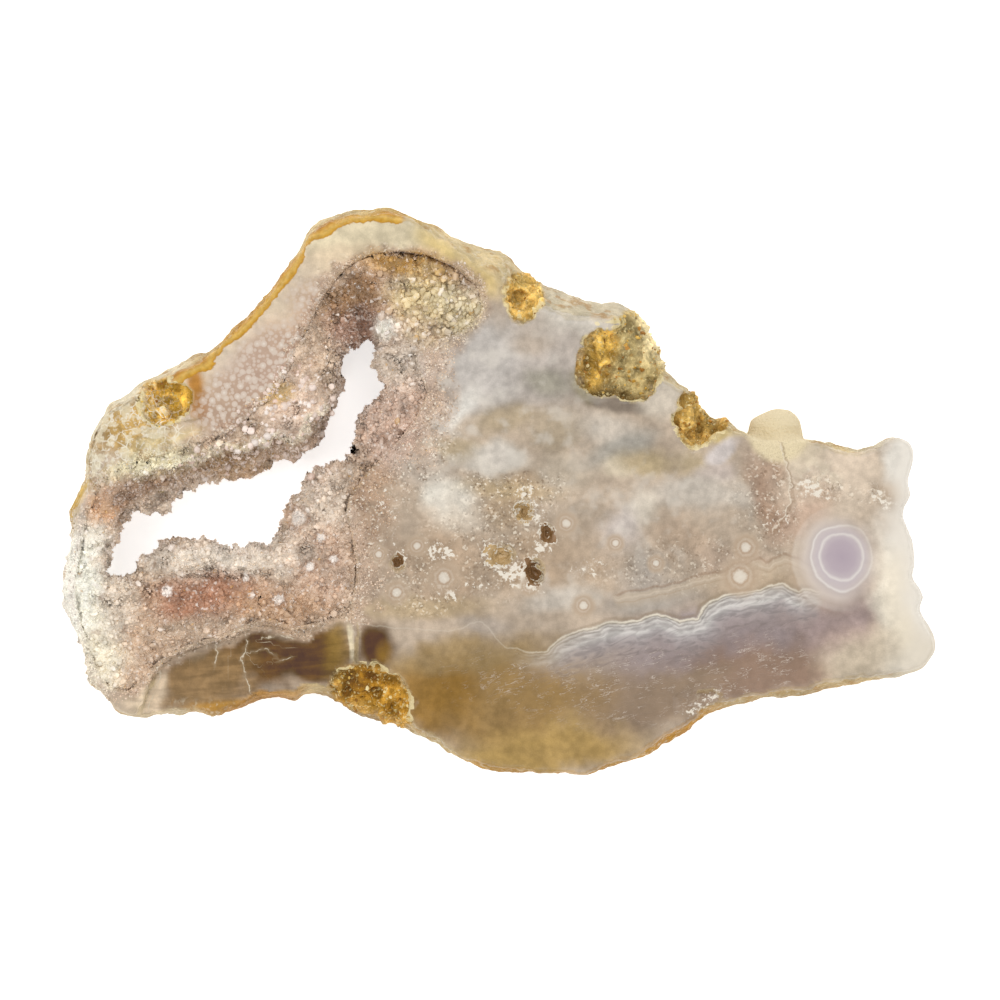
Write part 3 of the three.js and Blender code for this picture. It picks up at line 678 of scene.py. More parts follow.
# Paints of the crystal floor
DRUSE_GROUND = "#b99f8b"
DRUSE_PATCHES = [
    # Painted shade inside the upper cavity, below its golden roof.
    Patch("dark upper cavity", "#8c6848", (-24.5, 32.4), (5.8, 5.1), 30.0, 0.95, 0.5),
    Patch("golden cavity roof", "#a97f42", (-15.0, 38.2), (8.5, 2.4), -12.0, 0.95, 0.5),
    Patch("cream crystals", "#c4ae88", (-12.8, 31.9), (5.8, 4.8), 20.0, 0.95, 0.5),
    Patch("grey-gold crystals", "#bfae90", (-6.5, 30.2), (4.8, 4.8), 0.0, 0.9, 0.5),
    Patch("rosy cavity wall", "#9c7868", (-24.1, 27.6), (4.4, 4.1), 40.0, 0.9, 0.5),
    Patch("white tip of the hole", "#eae4de", (-19.6, 27.6), (1.7, 2.0), 0.0, 0.9, 0.5),
    Patch("pale rosy right wall", "#c0aea1", (-17.0, 21.5), (4.4, 5.4), 0.0, 0.85, 0.5),
    Patch("rosy right wall", "#b99c8d", (-18.4, 11.5), (5.4, 7.8), -25.0, 0.9, 0.5),
    Patch("brown right wall", "#a98a72", (-21.4, -1.3), (3.4, 6.8), 0.0, 0.9, 0.5),
    Patch("pale right lobe wall", "#c3b0a2", (-30.9, -2.1), (4.8, 6.5), -40.0, 0.9, 0.5),
    Patch("rosy lower right", "#b89a87", (-30.3, -12.8), (5.8, 6.8), -30.0, 0.85, 0.5),
    Patch("pale lower crest", "#cfbfb3", (-47.3, -10.8), (13.3, 3.4), 4.0, 0.95, 0.5),
    Patch("rusty valley", "#a3745c", (-50.2, -17.9), (10.5, 3.7), 8.0, 0.95, 0.5),
    Patch("sandy valley", "#b08c70", (-37.4, -19.1), (8.2, 3.4), 0.0, 0.85, 0.5),
    Patch("brown lower left", "#bb9e88", (-62.9, -23.0), (6.1, 8.8), 10.0, 0.8, 0.5),
    Patch("pale pink lower left", "#d5c4b6", (-64.6, -18.3), (3.4, 6.8), 0.0, 0.8, 0.5),
    Patch("pale left margin", "#ebe3da", (-70.7, -15.7), (4.4, 11.6), 0.0, 1.0, 0.5),
    Patch("pale lower margin", "#dccfbe", (-68.7, -27.8), (4.8, 6.1), -20.0, 0.9, 0.5),
    Patch("orange tinge", "#cba07e", (-67.3, -2.3), (3.1, 2.7), 0.0, 0.8, 0.5),
    Patch("rosy recess", "#9c7b66", (-61.5, 1.4), (6.5, 2.4), 20.0, 0.7, 0.5),
    Patch("cream shelf", "#d6c8aa", (-60.2, 5.2), (8.2, 2.4), 8.0, 0.9, 0.5),
    Patch("pale fringe, upper lobe", "#c9b5a6", (-56.1, -1.3), (7.8, 2.0), 20.0, 0.8, 0.5),
    Patch("brown shelf shadow", "#8a683f", (-46.2, 6.2), (4.4, 1.7), 10.0, 0.95, 0.5),
    Patch("ledge", "#b39478", (-43.5, 3.8), (6.1, 2.4), 0.0, 0.85, 0.5),
    Patch("rosy bubbles", "#c8ae9e", (-34.0, 12.3), (6.8, 9.2), 30.0, 0.85, 0.5),
    Patch("golden speckle", "#c7a156", (-38.8, 16.6), (3.7, 1.7), 10.0, 0.6, 0.5),
]

LACE = Line("white lace", [
    (53.6, -16.7), (51.5, -16.4), (50.5, -16.9), (49.3, -16.2), (47.6, -15.4), (45.6, -15.9), (43.9, -16.6),
    (40.8, -16.9), (38.2, -17.3), (36.0, -18.3), (34.3, -19.5), (33.5, -21.2), (32.3, -21.5), (30.6, -21.8),
    (28.6, -21.0), (26.4, -20.5), (24.7, -21.2), (23.0, -21.8), (20.4, -21.8), (17.9, -22.0), (16.5, -22.7),
    (14.5, -23.2), (12.8, -23.7), (11.1, -24.4), (9.4, -25.2), (8.0, -26.8), (5.1, -27.1), (2.6, -26.4),
    (0.5, -25.9), (-0.5, -24.7), (-1.7, -22.9), (-3.4, -21.8), (-5.1, -22.0), (-6.5, -23.0), (-8.5, -23.4),
    (-11.9, -23.2), (-15.3, -23.0), (-17.9, -22.9), (-21.2, -22.5), (-24.1, -22.0),
])
TAN_LACE = Line("tan lace above the white one", [
    (56.0, -10.5), (53.4, -12.4), (52.2, -12.6), (50.4, -11.2), (48.2, -10.6), (46.0, -11.4), (45.2, -12.2),
    (43.6, -11.2), (42.2, -12.0), (40.0, -12.8), (37.0, -13.6), (33.5, -14.2), (30.0, -15.4), (26.0, -16.2),
    (20.0, -17.4),
])
RIND_INNER_EDGE = Line("inner edge of the golden rind", [
    (-17.0, 46.2), (-22.0, 46.6), (-26.4, 46.0), (-29.8, 43.8), (-32.3, 43.2), (-33.5, 41.6), (-34.0, 39.2),
    (-36.4, 35.8), (-38.6, 33.2), (-40.5, 30.7), (-42.5, 28.6), (-44.2, 26.9), (-47.3, 24.6), (-49.0, 23.2),
    (-48.8, 21.8), (-51.0, 20.9), (-53.0, 20.1), (-54.6, 18.8),
])
SHELF_EDGE = Line("ragged edge of the shelf", [
    (-60.4, 3.4), (-57.8, 4.0), (-54.4, 4.6), (-50.2, 5.2), (-48.4, 6.4), (-46.8, 7.6), (-44.2, 6.9),
    (-41.6, 7.8), (-39.2, 7.7), (-38.3, 9.2), (-35.7, 8.7), (-33.2, 8.5), (-31.4, 12.4), (-29.2, 13.9),
])
FACET_CRACKS = [
    Line("long crack", [(-43.2, -20.3), (-43.7, -22.5), (-42.7, -25.1), (-43.9, -28.6), (-42.3, -33.6)]),
    Line("short crack", [(-48.2, -24.9), (-47.9, -27.2), (-48.3, -29.3)]),
    Line("edge of the cream end", [(-56.8, -27.0), (-57.8, -31.9), (-59.7, -36.4)]),
    Line("scratch", [(-40.0, -24.6), (-37.5, -24.2), (-35.0, -24.9)]),
    Line("second scratch", [(-42.0, -27.0), (-39.6, -26.4), (-38.0, -27.6)]),
    Line("third scratch", [(-37.6, -28.6), (-35.4, -27.9)]),
]
FRACTURES = [
    Line("long fracture", [(47.3, 8.1), (48.1, 4.7), (48.8, 2.1), (49.3, -1.3), (47.6, -4.7), (46.2, -6.4)]),
]


@dataclass(frozen=True)
class Flower:
    """A white dot with rings round it, the pattern that names the stone."""

    centre: Pair
    radius: float


FLOWERS = [
    Flower((-56.3, -16.7), 1.1), Flower((-37.4, -18.1), 1.0), Flower((-43.0, -14.5), 0.7),
    Flower((-34.3, -4.3), 1.5), Flower((-30.3, -7.7), 0.9), Flower((-32.1, -12.5), 0.8), Flower((-28.1, -11.3), 0.8),
    Flower((-17.5, -16.9), 1.0), Flower((-9.5, -14.4), 1.2), Flower((11.2, -5.2), 0.9), Flower((41.6, -9.3), 1.1),
    Flower((14.1, -19.1), 0.9), Flower((-20.5, -10.5), 0.7), Flower((19.5, -8.6), 0.7), Flower((-14.0, -9.0), 0.8),
    Flower((40.6, -14.2), 1.5), Flower((5.0, -15.8), 0.8), Flower((26.4, -12.0), 0.7),
]


@dataclass(frozen=True)
class Eye:
    """The banded eye near the right end."""

    centre: Pair = (57.8, -11.0)
    disc: float = 3.8
    bands: float = 10.0


@dataclass(frozen=True)
class Pocket:
    """An iron-stained hole in the polished face."""

    name: str
    centre: Pair
    half: Pair


POCKETS = [
    Pocket("upper left pocket", (-56.6, 15.4), (5.0, 4.0)),
    Pocket("top notch", (4.0, 33.2), (3.4, 4.2)),
    Pocket("large pocket", (20.2, 21.8), (7.4, 7.0)),
    Pocket("large pocket, upper part", (24.5, 27.5), (4.2, 4.4)),
    Pocket("shoulder pocket", (33.6, 12.2), (4.8, 5.2)),
    Pocket("lower pocket", (-22.4, -33.0), (6.0, 4.2)),
    Pocket("lower pocket, right part", (-17.6, -36.4), (3.2, 3.6)),
]

POCKET_PATCHES = [
    Patch("pocket by the shoulder", "#d8ad4e", (-56.6, 15.4), (5.0, 4.0), 0.0, 1.0),
    Patch("notch", "#d9b568", (4.0, 33.2), (3.6, 4.2), 0.0, 1.0),
    Patch("large pocket, olive floor", "#ae9c6e", (21.5, 22.5), (7.0, 8.0), 0.0, 1.0),
    Patch("large pocket, cream rim", "#dccb9f", (27.0, 26.5), (3.4, 6.5), 25.0, 1.0),
    Patch("large pocket, brown left edge", "#8f7544", (14.6, 18.6), (2.2, 3.6), -20.0, 0.9),
    Patch("large pocket, golden wall", "#dab25c", (17.2, 23.0), (1.9, 5.8), -14.0, 1.0),
    Patch("large pocket, dark foot", "#6f5c3a", (19.5, 15.8), (5.0, 1.6), 0.0, 0.9),
    Patch("shoulder pocket", "#b39353", (33.6, 12.2), (5.0, 5.4), 0.0, 1.0),
    Patch("lower pocket", "#8c6526", (-22.4, -33.0), (6.2, 4.6), 0.0, 1.0),
    Patch("lower pocket, right part", "#b88a3a", (-17.6, -36.0), (3.4, 4.0), 0.0, 1.0),
]
PITS = [
    Patch("tan pit", "", (0.2, -10.4), (2.2, 1.6), 0.0, 1.0, 0.9, 1.1),
    Patch("dark pit", "", (5.9, -13.3), (1.6, 2.2), 0.0, 1.0, 0.8, 1.0),
    Patch("upper pit", "", (4.1, -3.4), (1.3, 1.8), 0.0, 1.0, 0.9, 1.1),
    Patch("slit pit", "", (7.8, -7.0), (1.0, 1.8), 25.0, 1.0, 0.8, 0.8),
    Patch("left pit", "", (-17.4, -11.9), (1.0, 1.5), 0.0, 1.0, 0.8, 0.8),
]
TAN_PITS = [
    Patch("tan pit", "", (0.2, -10.4), (3.6, 3.0), 0.0, 1.0, 0.3), Patch("upper pit", "", (4.1, -3.4), (2.4, 3.0), 0.0, 1.0, 0.3),
]
BALL = [Patch("ball", "", (47.1, 10.6), (5.4, 5.4), 0.0, 1.0, 0.15, 0.2)]
MILKY_RIM = [Patch("milky rim", "", (74.0, -8.0), (9.0, 30.0), 0.0, 1.0, 0.3), *BALL]
SHOULDER = [
    Patch("left shoulder", "", (-61.5, 9.0), (9.5, 8.0), 30.0, 1.0, 0.3),
    Patch("far left shelf", "", (-68.0, 4.5), (4.0, 5.0), 0.0, 1.0, 0.4),
]
CHIPPED = [
    Patch("left shoulder", "", (-62.5, 9.0), (8.0, 8.0), 30.0, 1.0, 0.35),
    Patch("chips right of the fracture", "", (53.6, 3.4), (4.0, 2.4), -20.0, 0.3, 0.5),
    Patch("far left shelf", "", (-68.0, 4.5), (4.0, 5.0), 0.0, 1.0, 0.4),
]
LACE_STOPS = [
    (0.0, "#ddd6c8"), (0.025, "#a39b92"), (0.045, "#d2cec8"), (0.075, "#a8a29f"), (0.1, "#cfccc8"), (0.14, "#b4afad"),
    (0.19, "#d0cdca"), (0.27, "#b0aaaa"), (0.38, "#a39a9a"), (0.55, "#978b88"), (0.7, "#8f817b"),
]
FLOWER_STOPS = [
    (0.0, "#ece5da"), (0.2, "#e3dacd"), (0.3, "#b59c86"), (0.4, "#c9b8a5"), (0.52, "#b9a38d"), (0.75, "#c5b29d"),
]
EYE_STOPS = [
    (0.0, "#b1a3b0"), (0.2, "#b9acb6"), (0.275, "#c3b8be"), (0.31, "#e0dad8"), (0.335, "#c8bec2"), (0.4, "#cdc3c4"),
    (0.425, "#e4dedb"), (0.45, "#c9beba"), (0.52, "#d6cac2"), (0.62, "#cdbfb3"), (0.69, "#dccfc3"), (0.73, "#bfa895"),
    (0.8, "#cbb7a4"), (0.9, "#c4ae9a"),
]
RIND_STOPS = [
    (0.0, "#b5842f"), (0.06, "#c8963a"), (0.28, "#d9b25f"), (0.5, "#cb9844"), (0.68, "#b27c33"), (0.8, "#d9bd84"),
    (0.95, "#e6d8b8"),
]
POCKET_STOPS = [
    (0.3, "#4d3512"), (0.42, "#8a5f1e"), (0.5, "#c08a2c"), (0.58, "#d9b45a"), (0.66, "#c9952f"), (0.75, "#efdca6"),
]
BUBBLY_WALL = [
    Patch("wall below the bubbles", "", (-35.0, 12.0), (9.0, 9.0), 40.0, 1.0, 0.4),
    Patch("shelf", "", (-47.0, 6.0), (7.0, 3.6), 10.0, 0.6, 0.4),
]
DRUSY_RIM = [
    Patch("crumbs on the shoulder", "", (-59.0, 4.8), (10.0, 2.2), 12.0, 1.0, 0.4),
    Patch("pale left rim", "", (-73.0, -16.5), (5.6, 12.0), 0.0, 1.0, 0.3),
    Patch("lower left rim", "", (-69.5, -27.5), (5.0, 7.5), 25.0, 1.0, 0.3),
]
SUGARY_MARGIN = [
    Patch("right of the hollow", "", (-16.0, 5.0), (9.0, 24.0), -12.0, 1.0, 0.4),
    Patch("right of the lower lobe", "", (-20.0, -12.0), (9.0, 10.0), 0.0, 0.9, 0.4),
]
FACETS = [
    Patch("lower left facet", "", (-42.0, -28.5), (19.0, 7.5), 6.0, 1.0, 0.12),
    Patch("facet, right end", "", (-28.0, -25.5), (3.5, 6.0), 0.0, 1.0, 0.2),
    Patch("cream end", "", (-60.5, -32.5), (5.0, 6.5), -18.0, 1.0, 0.2),
]
AREAS = {
    "rims": [
        Patch("rim, lower", "", (3.0, -13.9), (4.4, 1.9), -32.0, 1.0, 0.4, 0.8),
        Patch("rim, middle", "", (-1.5, -9.2), (2.0, 1.4), 20.0, 0.7, 0.5, 0.8),
        Patch("rim, upper", "", (3.4, -2.0), (1.4, 3.0), 0.0, 0.8, 0.5, 0.8),
        Patch("rim, slanting", "", (6.2, -2.6), (1.2, 6.0), 16.0, 0.7, 0.5, 0.8),
        Patch("rim, slit", "", (7.6, -9.0), (1.8, 1.4), 0.0, 0.9, 0.5, 0.8),
        Patch("rim, lower right", "", (34.8, -35.2), (4.6, 1.1), 38.0, 0.9, 0.5, 0.8),
        Patch("rim, left", "", (-16.6, -10.6), (1.6, 1.4), 0.0, 0.8, 0.5, 0.8),
        Patch("rim, low left", "", (-9.2, -17.0), (2.6, 1.2), -30.0, 0.7, 0.5, 0.8),
        Patch("rim, row above the lace", "", (-2.0, -15.4), (7.0, 1.0), 6.0, 0.45, 0.6, 0.8),
        Patch("star", "", (-10.6, -10.6), (2.2, 1.8), 0.0, 0.9, 0.5, 0.8),
        Patch("rim, far right", "", (15.5, -12.5), (3.4, 1.6), 0.0, 0.5, 0.5, 0.8),
        Patch("right of the fracture", "", (53.0, 0.6), (3.6, 1.6), -20.0, 0.8, 0.5, 0.8),
        Patch("below the fracture", "", (47.0, -4.5), (2.6, 2.6), 0.0, 0.5, 0.5, 0.8),
        Patch("far right", "", (64.5, -0.8), (2.6, 1.5), -30.0, 0.8, 0.5, 0.8),
        Patch("edge of the druse", "", (-19.5, -4.0), (2.6, 9.0), -8.0, 0.4, 0.5),
    ],
    "facets": FACETS,
    "tan_pit": TAN_PITS,
    "shoulder": SHOULDER,
    "cloudy": [
        Patch("clouds", "", (-2.0, 14.0), (18.0, 13.0), 0.0, 1.0, 0.4),
        Patch("clouds right", "", (26.0, -2.0), (16.0, 10.0), 0.0, 0.8, 0.5),
        Patch("clouds low", "", (16.0, -16.0), (14.0, 5.0), 0.0, 0.7, 0.5),
    ],
    "chipped": CHIPPED,
    "milky": MILKY_RIM,
    "eye_side": [
        Patch("eye", "", (57.0, -11.5), (6.0, 6.4), 0.0, 0.95, 0.4, 0.5),
        Patch("eye, left and below", "", (53.5, -12.5), (8.6, 9.4), 0.0, 0.9, 0.35, 0.5),
    ],
    "bubbly": [
        Patch("bubbles", "", (-40.0, 19.0), (10.5, 7.0), 52.0, 1.0, 0.35),
        Patch("bubbles, low", "", (-46.5, 13.6), (5.0, 4.6), 0.0, 1.0, 0.4),
        Patch("bubbles, high", "", (-32.0, 30.5), (4.0, 5.0), 40.0, 0.8, 0.5),
    ],
    "sugary": [
        Patch("strip", "", (2.0, 0.6), (9.5, 2.8), -4.0, 1.0, 0.5),
        Patch("centre", "", (-1.0, -8.0), (9.0, 8.0), 0.0, 0.75, 0.6),
        Patch("low left", "", (-13.0, -16.5), (7.0, 4.5), 0.0, 0.7, 0.5),
        Patch("right", "", (45.5, -1.5), (5.0, 8.0), 10.0, 0.7, 0.5),
        Patch("right, upper", "", (55.5, 1.2), (4.0, 1.8), -10.0, 0.9, 0.5),
        Patch("far right", "", (62.9, -0.4), (2.4, 1.6), 0.0, 0.8, 0.5),
        Patch("beside the druse", "", (-13.0, 7.0), (5.0, 9.0), -25.0, 0.8, 0.5),
        Patch("crown", "", (-22.0, 37.0), (10.0, 3.0), 10.0, 0.6, 0.6),
        Patch("above the lace", "", (31.0, -12.0), (14.0, 4.0), 4.0, 0.5, 0.6),
    ],
    "flaky": [
        Patch("flakes", "", (30.0, -31.5), (24.0, 6.0), 10.0, 1.0, 0.4),
        Patch("flakes, left", "", (4.0, -31.5), (12.0, 5.0), 0.0, 0.8, 0.5),
    ],
    "lace_strong": [
        Patch("lace right", "", (34.0, -24.0), (26.0, 8.5), 9.0, 1.0, 0.35, 0.4),
    ],
}


def drifts(points: Array, seed: int) -> Array:
    """Two sideways shifts for each place, large and soft with finer ones on top."""
    return np.stack([rough(points, 6.0, seed, 4), rough(points, 6.0, seed + 12, 4)], axis=1)


def painted(points: Array, ground: str, patches: Sequence[Patch]) -> Array:
    """Lays soft patches of paint over a ground colour.

    Args:
        points: Places in millimetres.
        ground: The colour below all patches.
        patches: The patches, the lowest first.

    Returns:
        Linear colours, one row each.
    """
    colours = np.tile(np.array(paint(ground)[:3]), (len(points), 1))
    drift = drifts(points, 11)
    for patch in patches:
        share = patch.cover(points, drift)[:, None]
        colours += share * (np.array(paint(patch.colour)[:3]) - colours)
    return colours


def druse_tones(points: Array) -> Array:
    """Colours of the crystals, lifted as painted light against the shade between them, with lights and darks of a few
    millimetres, a painted shadow under the shelf's ragged edge and a painted highlight along it.
    """
    tones = painted(points, DRUSE_GROUND, DRUSE_PATCHES) * PAINTED_CREVICE_LIGHT
    tones *= (1.0 + 0.18 * rough(points, 3.6, 91, 3) + 0.12 * rough(points, 1.1, 97, 2))[:, None]
    for flower in FLOWERS:
        reach = np.hypot(points[:, 0] - flower.centre[0], points[:, 1] - flower.centre[1]) / flower.radius
        halo = 0.45 * smooth(1.7, 1.3, reach) * smooth(0.8, 1.1, reach)
        tones += halo[:, None] * (np.array(paint("#a07a62")[:3]) - tones)
        tones += (0.85 * smooth(1.0, 0.7, reach))[:, None] * (np.array(paint("#f4ece4")[:3]) - tones)
    offset, along = beside([SHELF_EDGE], points)
    offset += 0.7 * rough(points, 1.6, 57, 3)
    shadow = along * smooth(0.1, -0.2, offset) * smooth(-3.2, -0.3, offset)
    tones += (0.6 * shadow)[:, None] * (np.array(paint("#8a6a4a")[:3]) - tones)
    # Painted highlight: a cream strip along the top of the shelf's ragged edge.
    edge = along * smooth(1.0, 0.1, np.abs(offset - 0.5))
    tones += (0.5 * edge)[:, None] * (np.array(paint("#eadfcb")[:3]) * PAINTED_CREVICE_LIGHT - tones)
    return held(tones)


def under_shelf(points: Array) -> Array:
    """How far a place lies on the lower ledge, under the ragged edge of the shelf."""
    offset, along = beside([SHELF_EDGE], points)
    offset += 0.7 * rough(points, 1.6, 57, 3)
    return along * smooth(0.1, -0.3, offset) * smooth(-7.0, -4.0, offset)


def held(tones: Array) -> Array:
    """Keeps colours below white without changing their hue."""
    return tones * np.minimum(1.0, BRIGHTEST / tones.max(axis=1))[:, None]


def covered(points: Array, patches: Sequence[Patch]) -> Array:
    """How strongly the strongest of some patches covers each place."""
    drift = drifts(points, 71)
    cover = np.zeros(len(points))
    for patch in patches:
        cover = np.maximum(cover, patch.cover(points, drift))
    return cover


def pocket_share(points: Array) -> Array:
    """How far a place lies in one of the iron-stained pockets, from 0 to 1."""
    share = np.zeros(len(points))
    uneven = 0.1 * rough(points, 1.6, 61)
    for pocket in POCKETS:
        reach = np.hypot(
            (points[:, 0] - pocket.centre[0]) / pocket.half[0], (points[:, 1] - pocket.centre[1]) / pocket.half[1]
        )
        share = np.maximum(share, smooth(1.12, 0.98, reach + uneven))
    return share


def nearest(points: Array, targets: Array) -> tuple[Array, Array]:
    """Finds the nearest of some targets to each place, seen from above.

    Args:
        points: Places in millimetres.
        targets: The targets in millimetres.

    Returns:
        Distances in millimetres and the targets' numbers.
    """
    tree = KDTree(len(targets))
    for i, target in enumerate(targets):
        tree.insert((target[0], target[1], 0.0), i)
    tree.balance()
    found = [tree.find((x, y, 0.0))[1:] for x, y in points[:, :2]]
    return np.array([item[1] for item in found]), np.array([item[0] for item in found])


def distance_to(points: Array, targets: Array) -> Array:
    """Distance from each place to the nearest of some targets, seen from above."""
    return nearest(points, targets)[0]


def facing_stone(points: Array, facing: Array, reach: float) -> Array:
    """Finds the points that look at the stone's own wall from close by.

    Args:
        points: Places in millimetres.
        facing: The directions that they face.
        reach: How far away the wall may be, in millimetres.

    Returns:
        1 where the wall is near and 0 elsewhere.
    """
    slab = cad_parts[Node.SLAB.value]
    corners = [slab.matrix_world @ vertex.co for vertex in slab.data.vertices]
    faces = [tuple(face.vertices) for face in slab.data.polygons]
    wall = BVHTree.FromPolygons(corners, faces)
    hits = np.zeros(len(points))
    starts = points * MM + facing * 0.00002
    for i, (start, way) in enumerate(zip(starts, facing)):
        if wall.ray_cast(Vector(start), Vector(way), reach * MM)[0] is not None:
            hits[i] = 1.0
    return hits


@dataclass
class Stone:
    """The agate itself: polished face, sawn back, rind, pockets and broken facets.

    Sizes are in millimetres.
    """

    druse: Array
    voxel: float = 0.47
    back_ratio: float = 0.735
    rind_lumps: float = 0.35
    rind_grit: float = 0.22
    pocket_lumps: float = 0.9
    chip_depth: float = 0.7
    eye: Eye = Eye()

    def build(self) -> Piece:
        """Makes, shapes, paints and dresses the stone.

        Returns:
            The finished piece.
        """
        piece = refined("agate_stone", Node.SLAB, self.voxel, self.back_ratio)
        self.shape(piece)
        self.paint_points(piece)
        piece.dress(self.material(), Slot.AGATE, True)
        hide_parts(Node.SLAB.value)
        return piece

    def shape(self, piece: Piece) -> None:
        """Rounds the solid's facets and roughens what isn't polished or sawn."""
        height = piece.points[:, 2]
        level = (height > FACE_HEIGHT - 0.02) | (height < 0.02)
        sloping = np.abs(piece.facing[:, 2]) < 0.985
        free = (~level & sloping).astype(float)
        free *= np.maximum(smooth(0.5, 1.6, distance_to(piece.points, self.druse)), smooth(11.0, 9.0, height))
        piece.soften(0.6 * free, 6)
        milky = covered(piece.points, MILKY_RIM)
        pockets = pocket_share(piece.points) * free
        side = free * (1.0 - pockets)
        lumps = rough(piece.points, 3.2, 5, 3) * self.rind_lumps - 0.1
        grit = (ridged(piece.points, 1.3, 9, 3) - 0.6) * self.rind_grit
        cavern = (ridged(piece.points, 2.6, 31, 3) - 0.55) * 2.0 * self.pocket_lumps
        self.cavern = np.clip(0.5 + cavern, 0.0, 1.0)
        drusy = covered(piece.points, DRUSY_RIM) * side * (ridged(piece.points, 2.0, 67, 3) - 0.5)
        piece.push(side * (lumps + grit) * (1.0 - 0.8 * milky) + pockets * cavern + drusy)
        chips = covered(piece.points, CHIPPED) * (piece.points[:, 2] > FACE_HEIGHT - 1.0)
        piece.points[:, 2] -= chips * self.chip_depth * ridged(piece.points, 2.4, 53, 3) * (height > 1.0)
        piece.points[:, 2] = np.clip(piece.points[:, 2], 0.0, FACE_HEIGHT)
        piece.write()

    def paint_points(self, piece: Piece) -> None:
        """Stores the colours and the fields that the finish draws with."""
        points = piece.points
        away = distance_to(points, self.druse) / (0.5 + 1.6 * covered(points, SUGARY_MARGIN))
        uneven = away + 0.9 * rough(points, 2.2, 83, 4)
        level = np.abs(piece.facing[:, 2]) * (points[:, 2] < 1.0) + (points[:, 2] > FACE_HEIGHT - 1.2)
        polished = np.clip(smooth(0.8, 0.97, np.abs(piece.facing[:, 2])) + 0.6 * level, 0.0, 1.0)
        polished *= 1.0 - covered(points, BALL)
        face = painted(points, "#bcab99", FACE_PATCHES)
        druse = painted(points, DRUSE_GROUND, DRUSE_PATCHES)
        face += (0.85 * smooth(4.0, 0.2, uneven))[:, None] * (druse - face)
        rind = painted(points, "#cdb98f", RIND_PATCHES)
        colours = rind + polished[:, None] * (face - rind)
        # Painted light: the stone's wall just below the face beside the crystal bed takes the lifted crystal colours,
        # hiding the shade of the step at the hollow's margin.
        wall = smooth(1.8, 0.6, distance_to(points, self.druse)) * smooth(FACE_HEIGHT, FACE_HEIGHT - 0.4, points[:, 2])
        colours += wall[:, None] * (held(druse * PAINTED_CREVICE_LIGHT) - colours)
        pockets = pocket_share(points) * smooth(FACE_HEIGHT - 0.15, FACE_HEIGHT - 0.7, points[:, 2])
        golds = painted(points, "#b8904c", POCKET_PATCHES)
        # Painted shade and light: pocket colours darker in the hollows of the lumpy floor and lighter on its crests.
        golds *= (0.75 + 0.8 * self.cavern)[:, None]
        colours += pockets[:, None] * (golds - colours)
        piece.tint("tint", colours)
        piece.note("pocket", pockets)
        upper = smooth(FACE_HEIGHT - 2.2, FACE_HEIGHT - 0.7, points[:, 2])
        piece.note("lip", pocket_share(points) * upper * smooth(FACE_HEIGHT - 0.02, FACE_HEIGHT - 0.12, points[:, 2]))
        piece.note("polished", polished * (1.0 - pockets) * (1.0 - 0.8 * covered(points, CHIPPED)))
        piece.note("sawn", smooth(0.06, 0.0, points[:, 2]) * smooth(-0.8, -0.97, piece.facing[:, 2]))
        piece.note("side", smooth(FACE_HEIGHT - 0.3, FACE_HEIGHT - 1.4, points[:, 2]) * (1.0 - pockets))
        piece.note("druse_near", smooth(3.8, 0.3, uneven))
        piece.note("pit", covered(points, PITS) * (points[:, 2] > FACE_HEIGHT - 4.0))
        for name, lines in (("lace", [LACE]), ("tan_lace", [TAN_LACE]), ("rind_edge", [RIND_INNER_EDGE]),
                            ("fracture", FRACTURES), ("facet_crack", FACET_CRACKS)):
            distance, weight = beside(lines, points)
            piece.note(name, distance)
            piece.note(name + "_weight", weight)
        piece.note("front", smooth(FACE_HEIGHT - 3.0, FACE_HEIGHT - 1.0, points[:, 2]))
        for name, patches in AREAS.items():
            piece.note(name, covered(points, patches))

    def material(self) -> bpy.types.Material:
        """The finish of the whole stone.

        Returns:
            The material.
        """
        g = Graph("agate_finish")
        front = g.attribute("front")
        polished = g.attribute("polished")
        colour = g.colours("tint")
        colour = self.mottle(g, colour)
        colour = self.bubbles(g, colour)
        colour = self.sugar(g, colour)
        colour = self.crystal_rims(g, colour)
        colour = self.flakes(g, colour)
        colour = self.laces(g, colour, front)
        colour = self.flowers(g, colour, front)
        colour = self.eye_rings(g, colour, front)
        colour = self.cracks(g, colour, front)
        colour = self.rind(g, colour, front)
        colour = self.stains(g, colour)
        sawn = g.attribute("sawn")
        colour = g.mix(g.product(sawn, 0.45), colour, "#cfc4b4")
        colour = g.mix(sawn, colour, g.shade(colour, self.saw_lines(g), 0.82, 1.12))
        colour = g.mix(1.0, colour, POLISH_GAIN, "MULTIPLY")
        colour = g.mix(1.0, colour, (POLISH_VEIL, POLISH_VEIL, POLISH_VEIL, 1.0), "SUBTRACT")
        relief = self.relief(g, polished)
        shiny = g.product(polished, g.maths("SUBTRACT", 1.0, sawn))
        roughness = g.maths("SUBTRACT", 0.75, g.product(shiny, 0.45))
        return g.close(colour, roughness, relief)

    def saw_lines(self, g: Graph) -> Socket:
        """Fine lines that the saw left across the back, from 0 to 1."""
        fine = g.noise(1.0, 1.0, g.scaled(g.place, (2.6, 0.05, 1.0), 24.0))
        broad = g.noise(1.0, 1.0, g.scaled(g.place, (0.35, 0.02, 1.0), 24.0))
        return g.maths("MULTIPLY_ADD", fine, 0.6, g.maths("MULTIPLY", broad, 0.4))

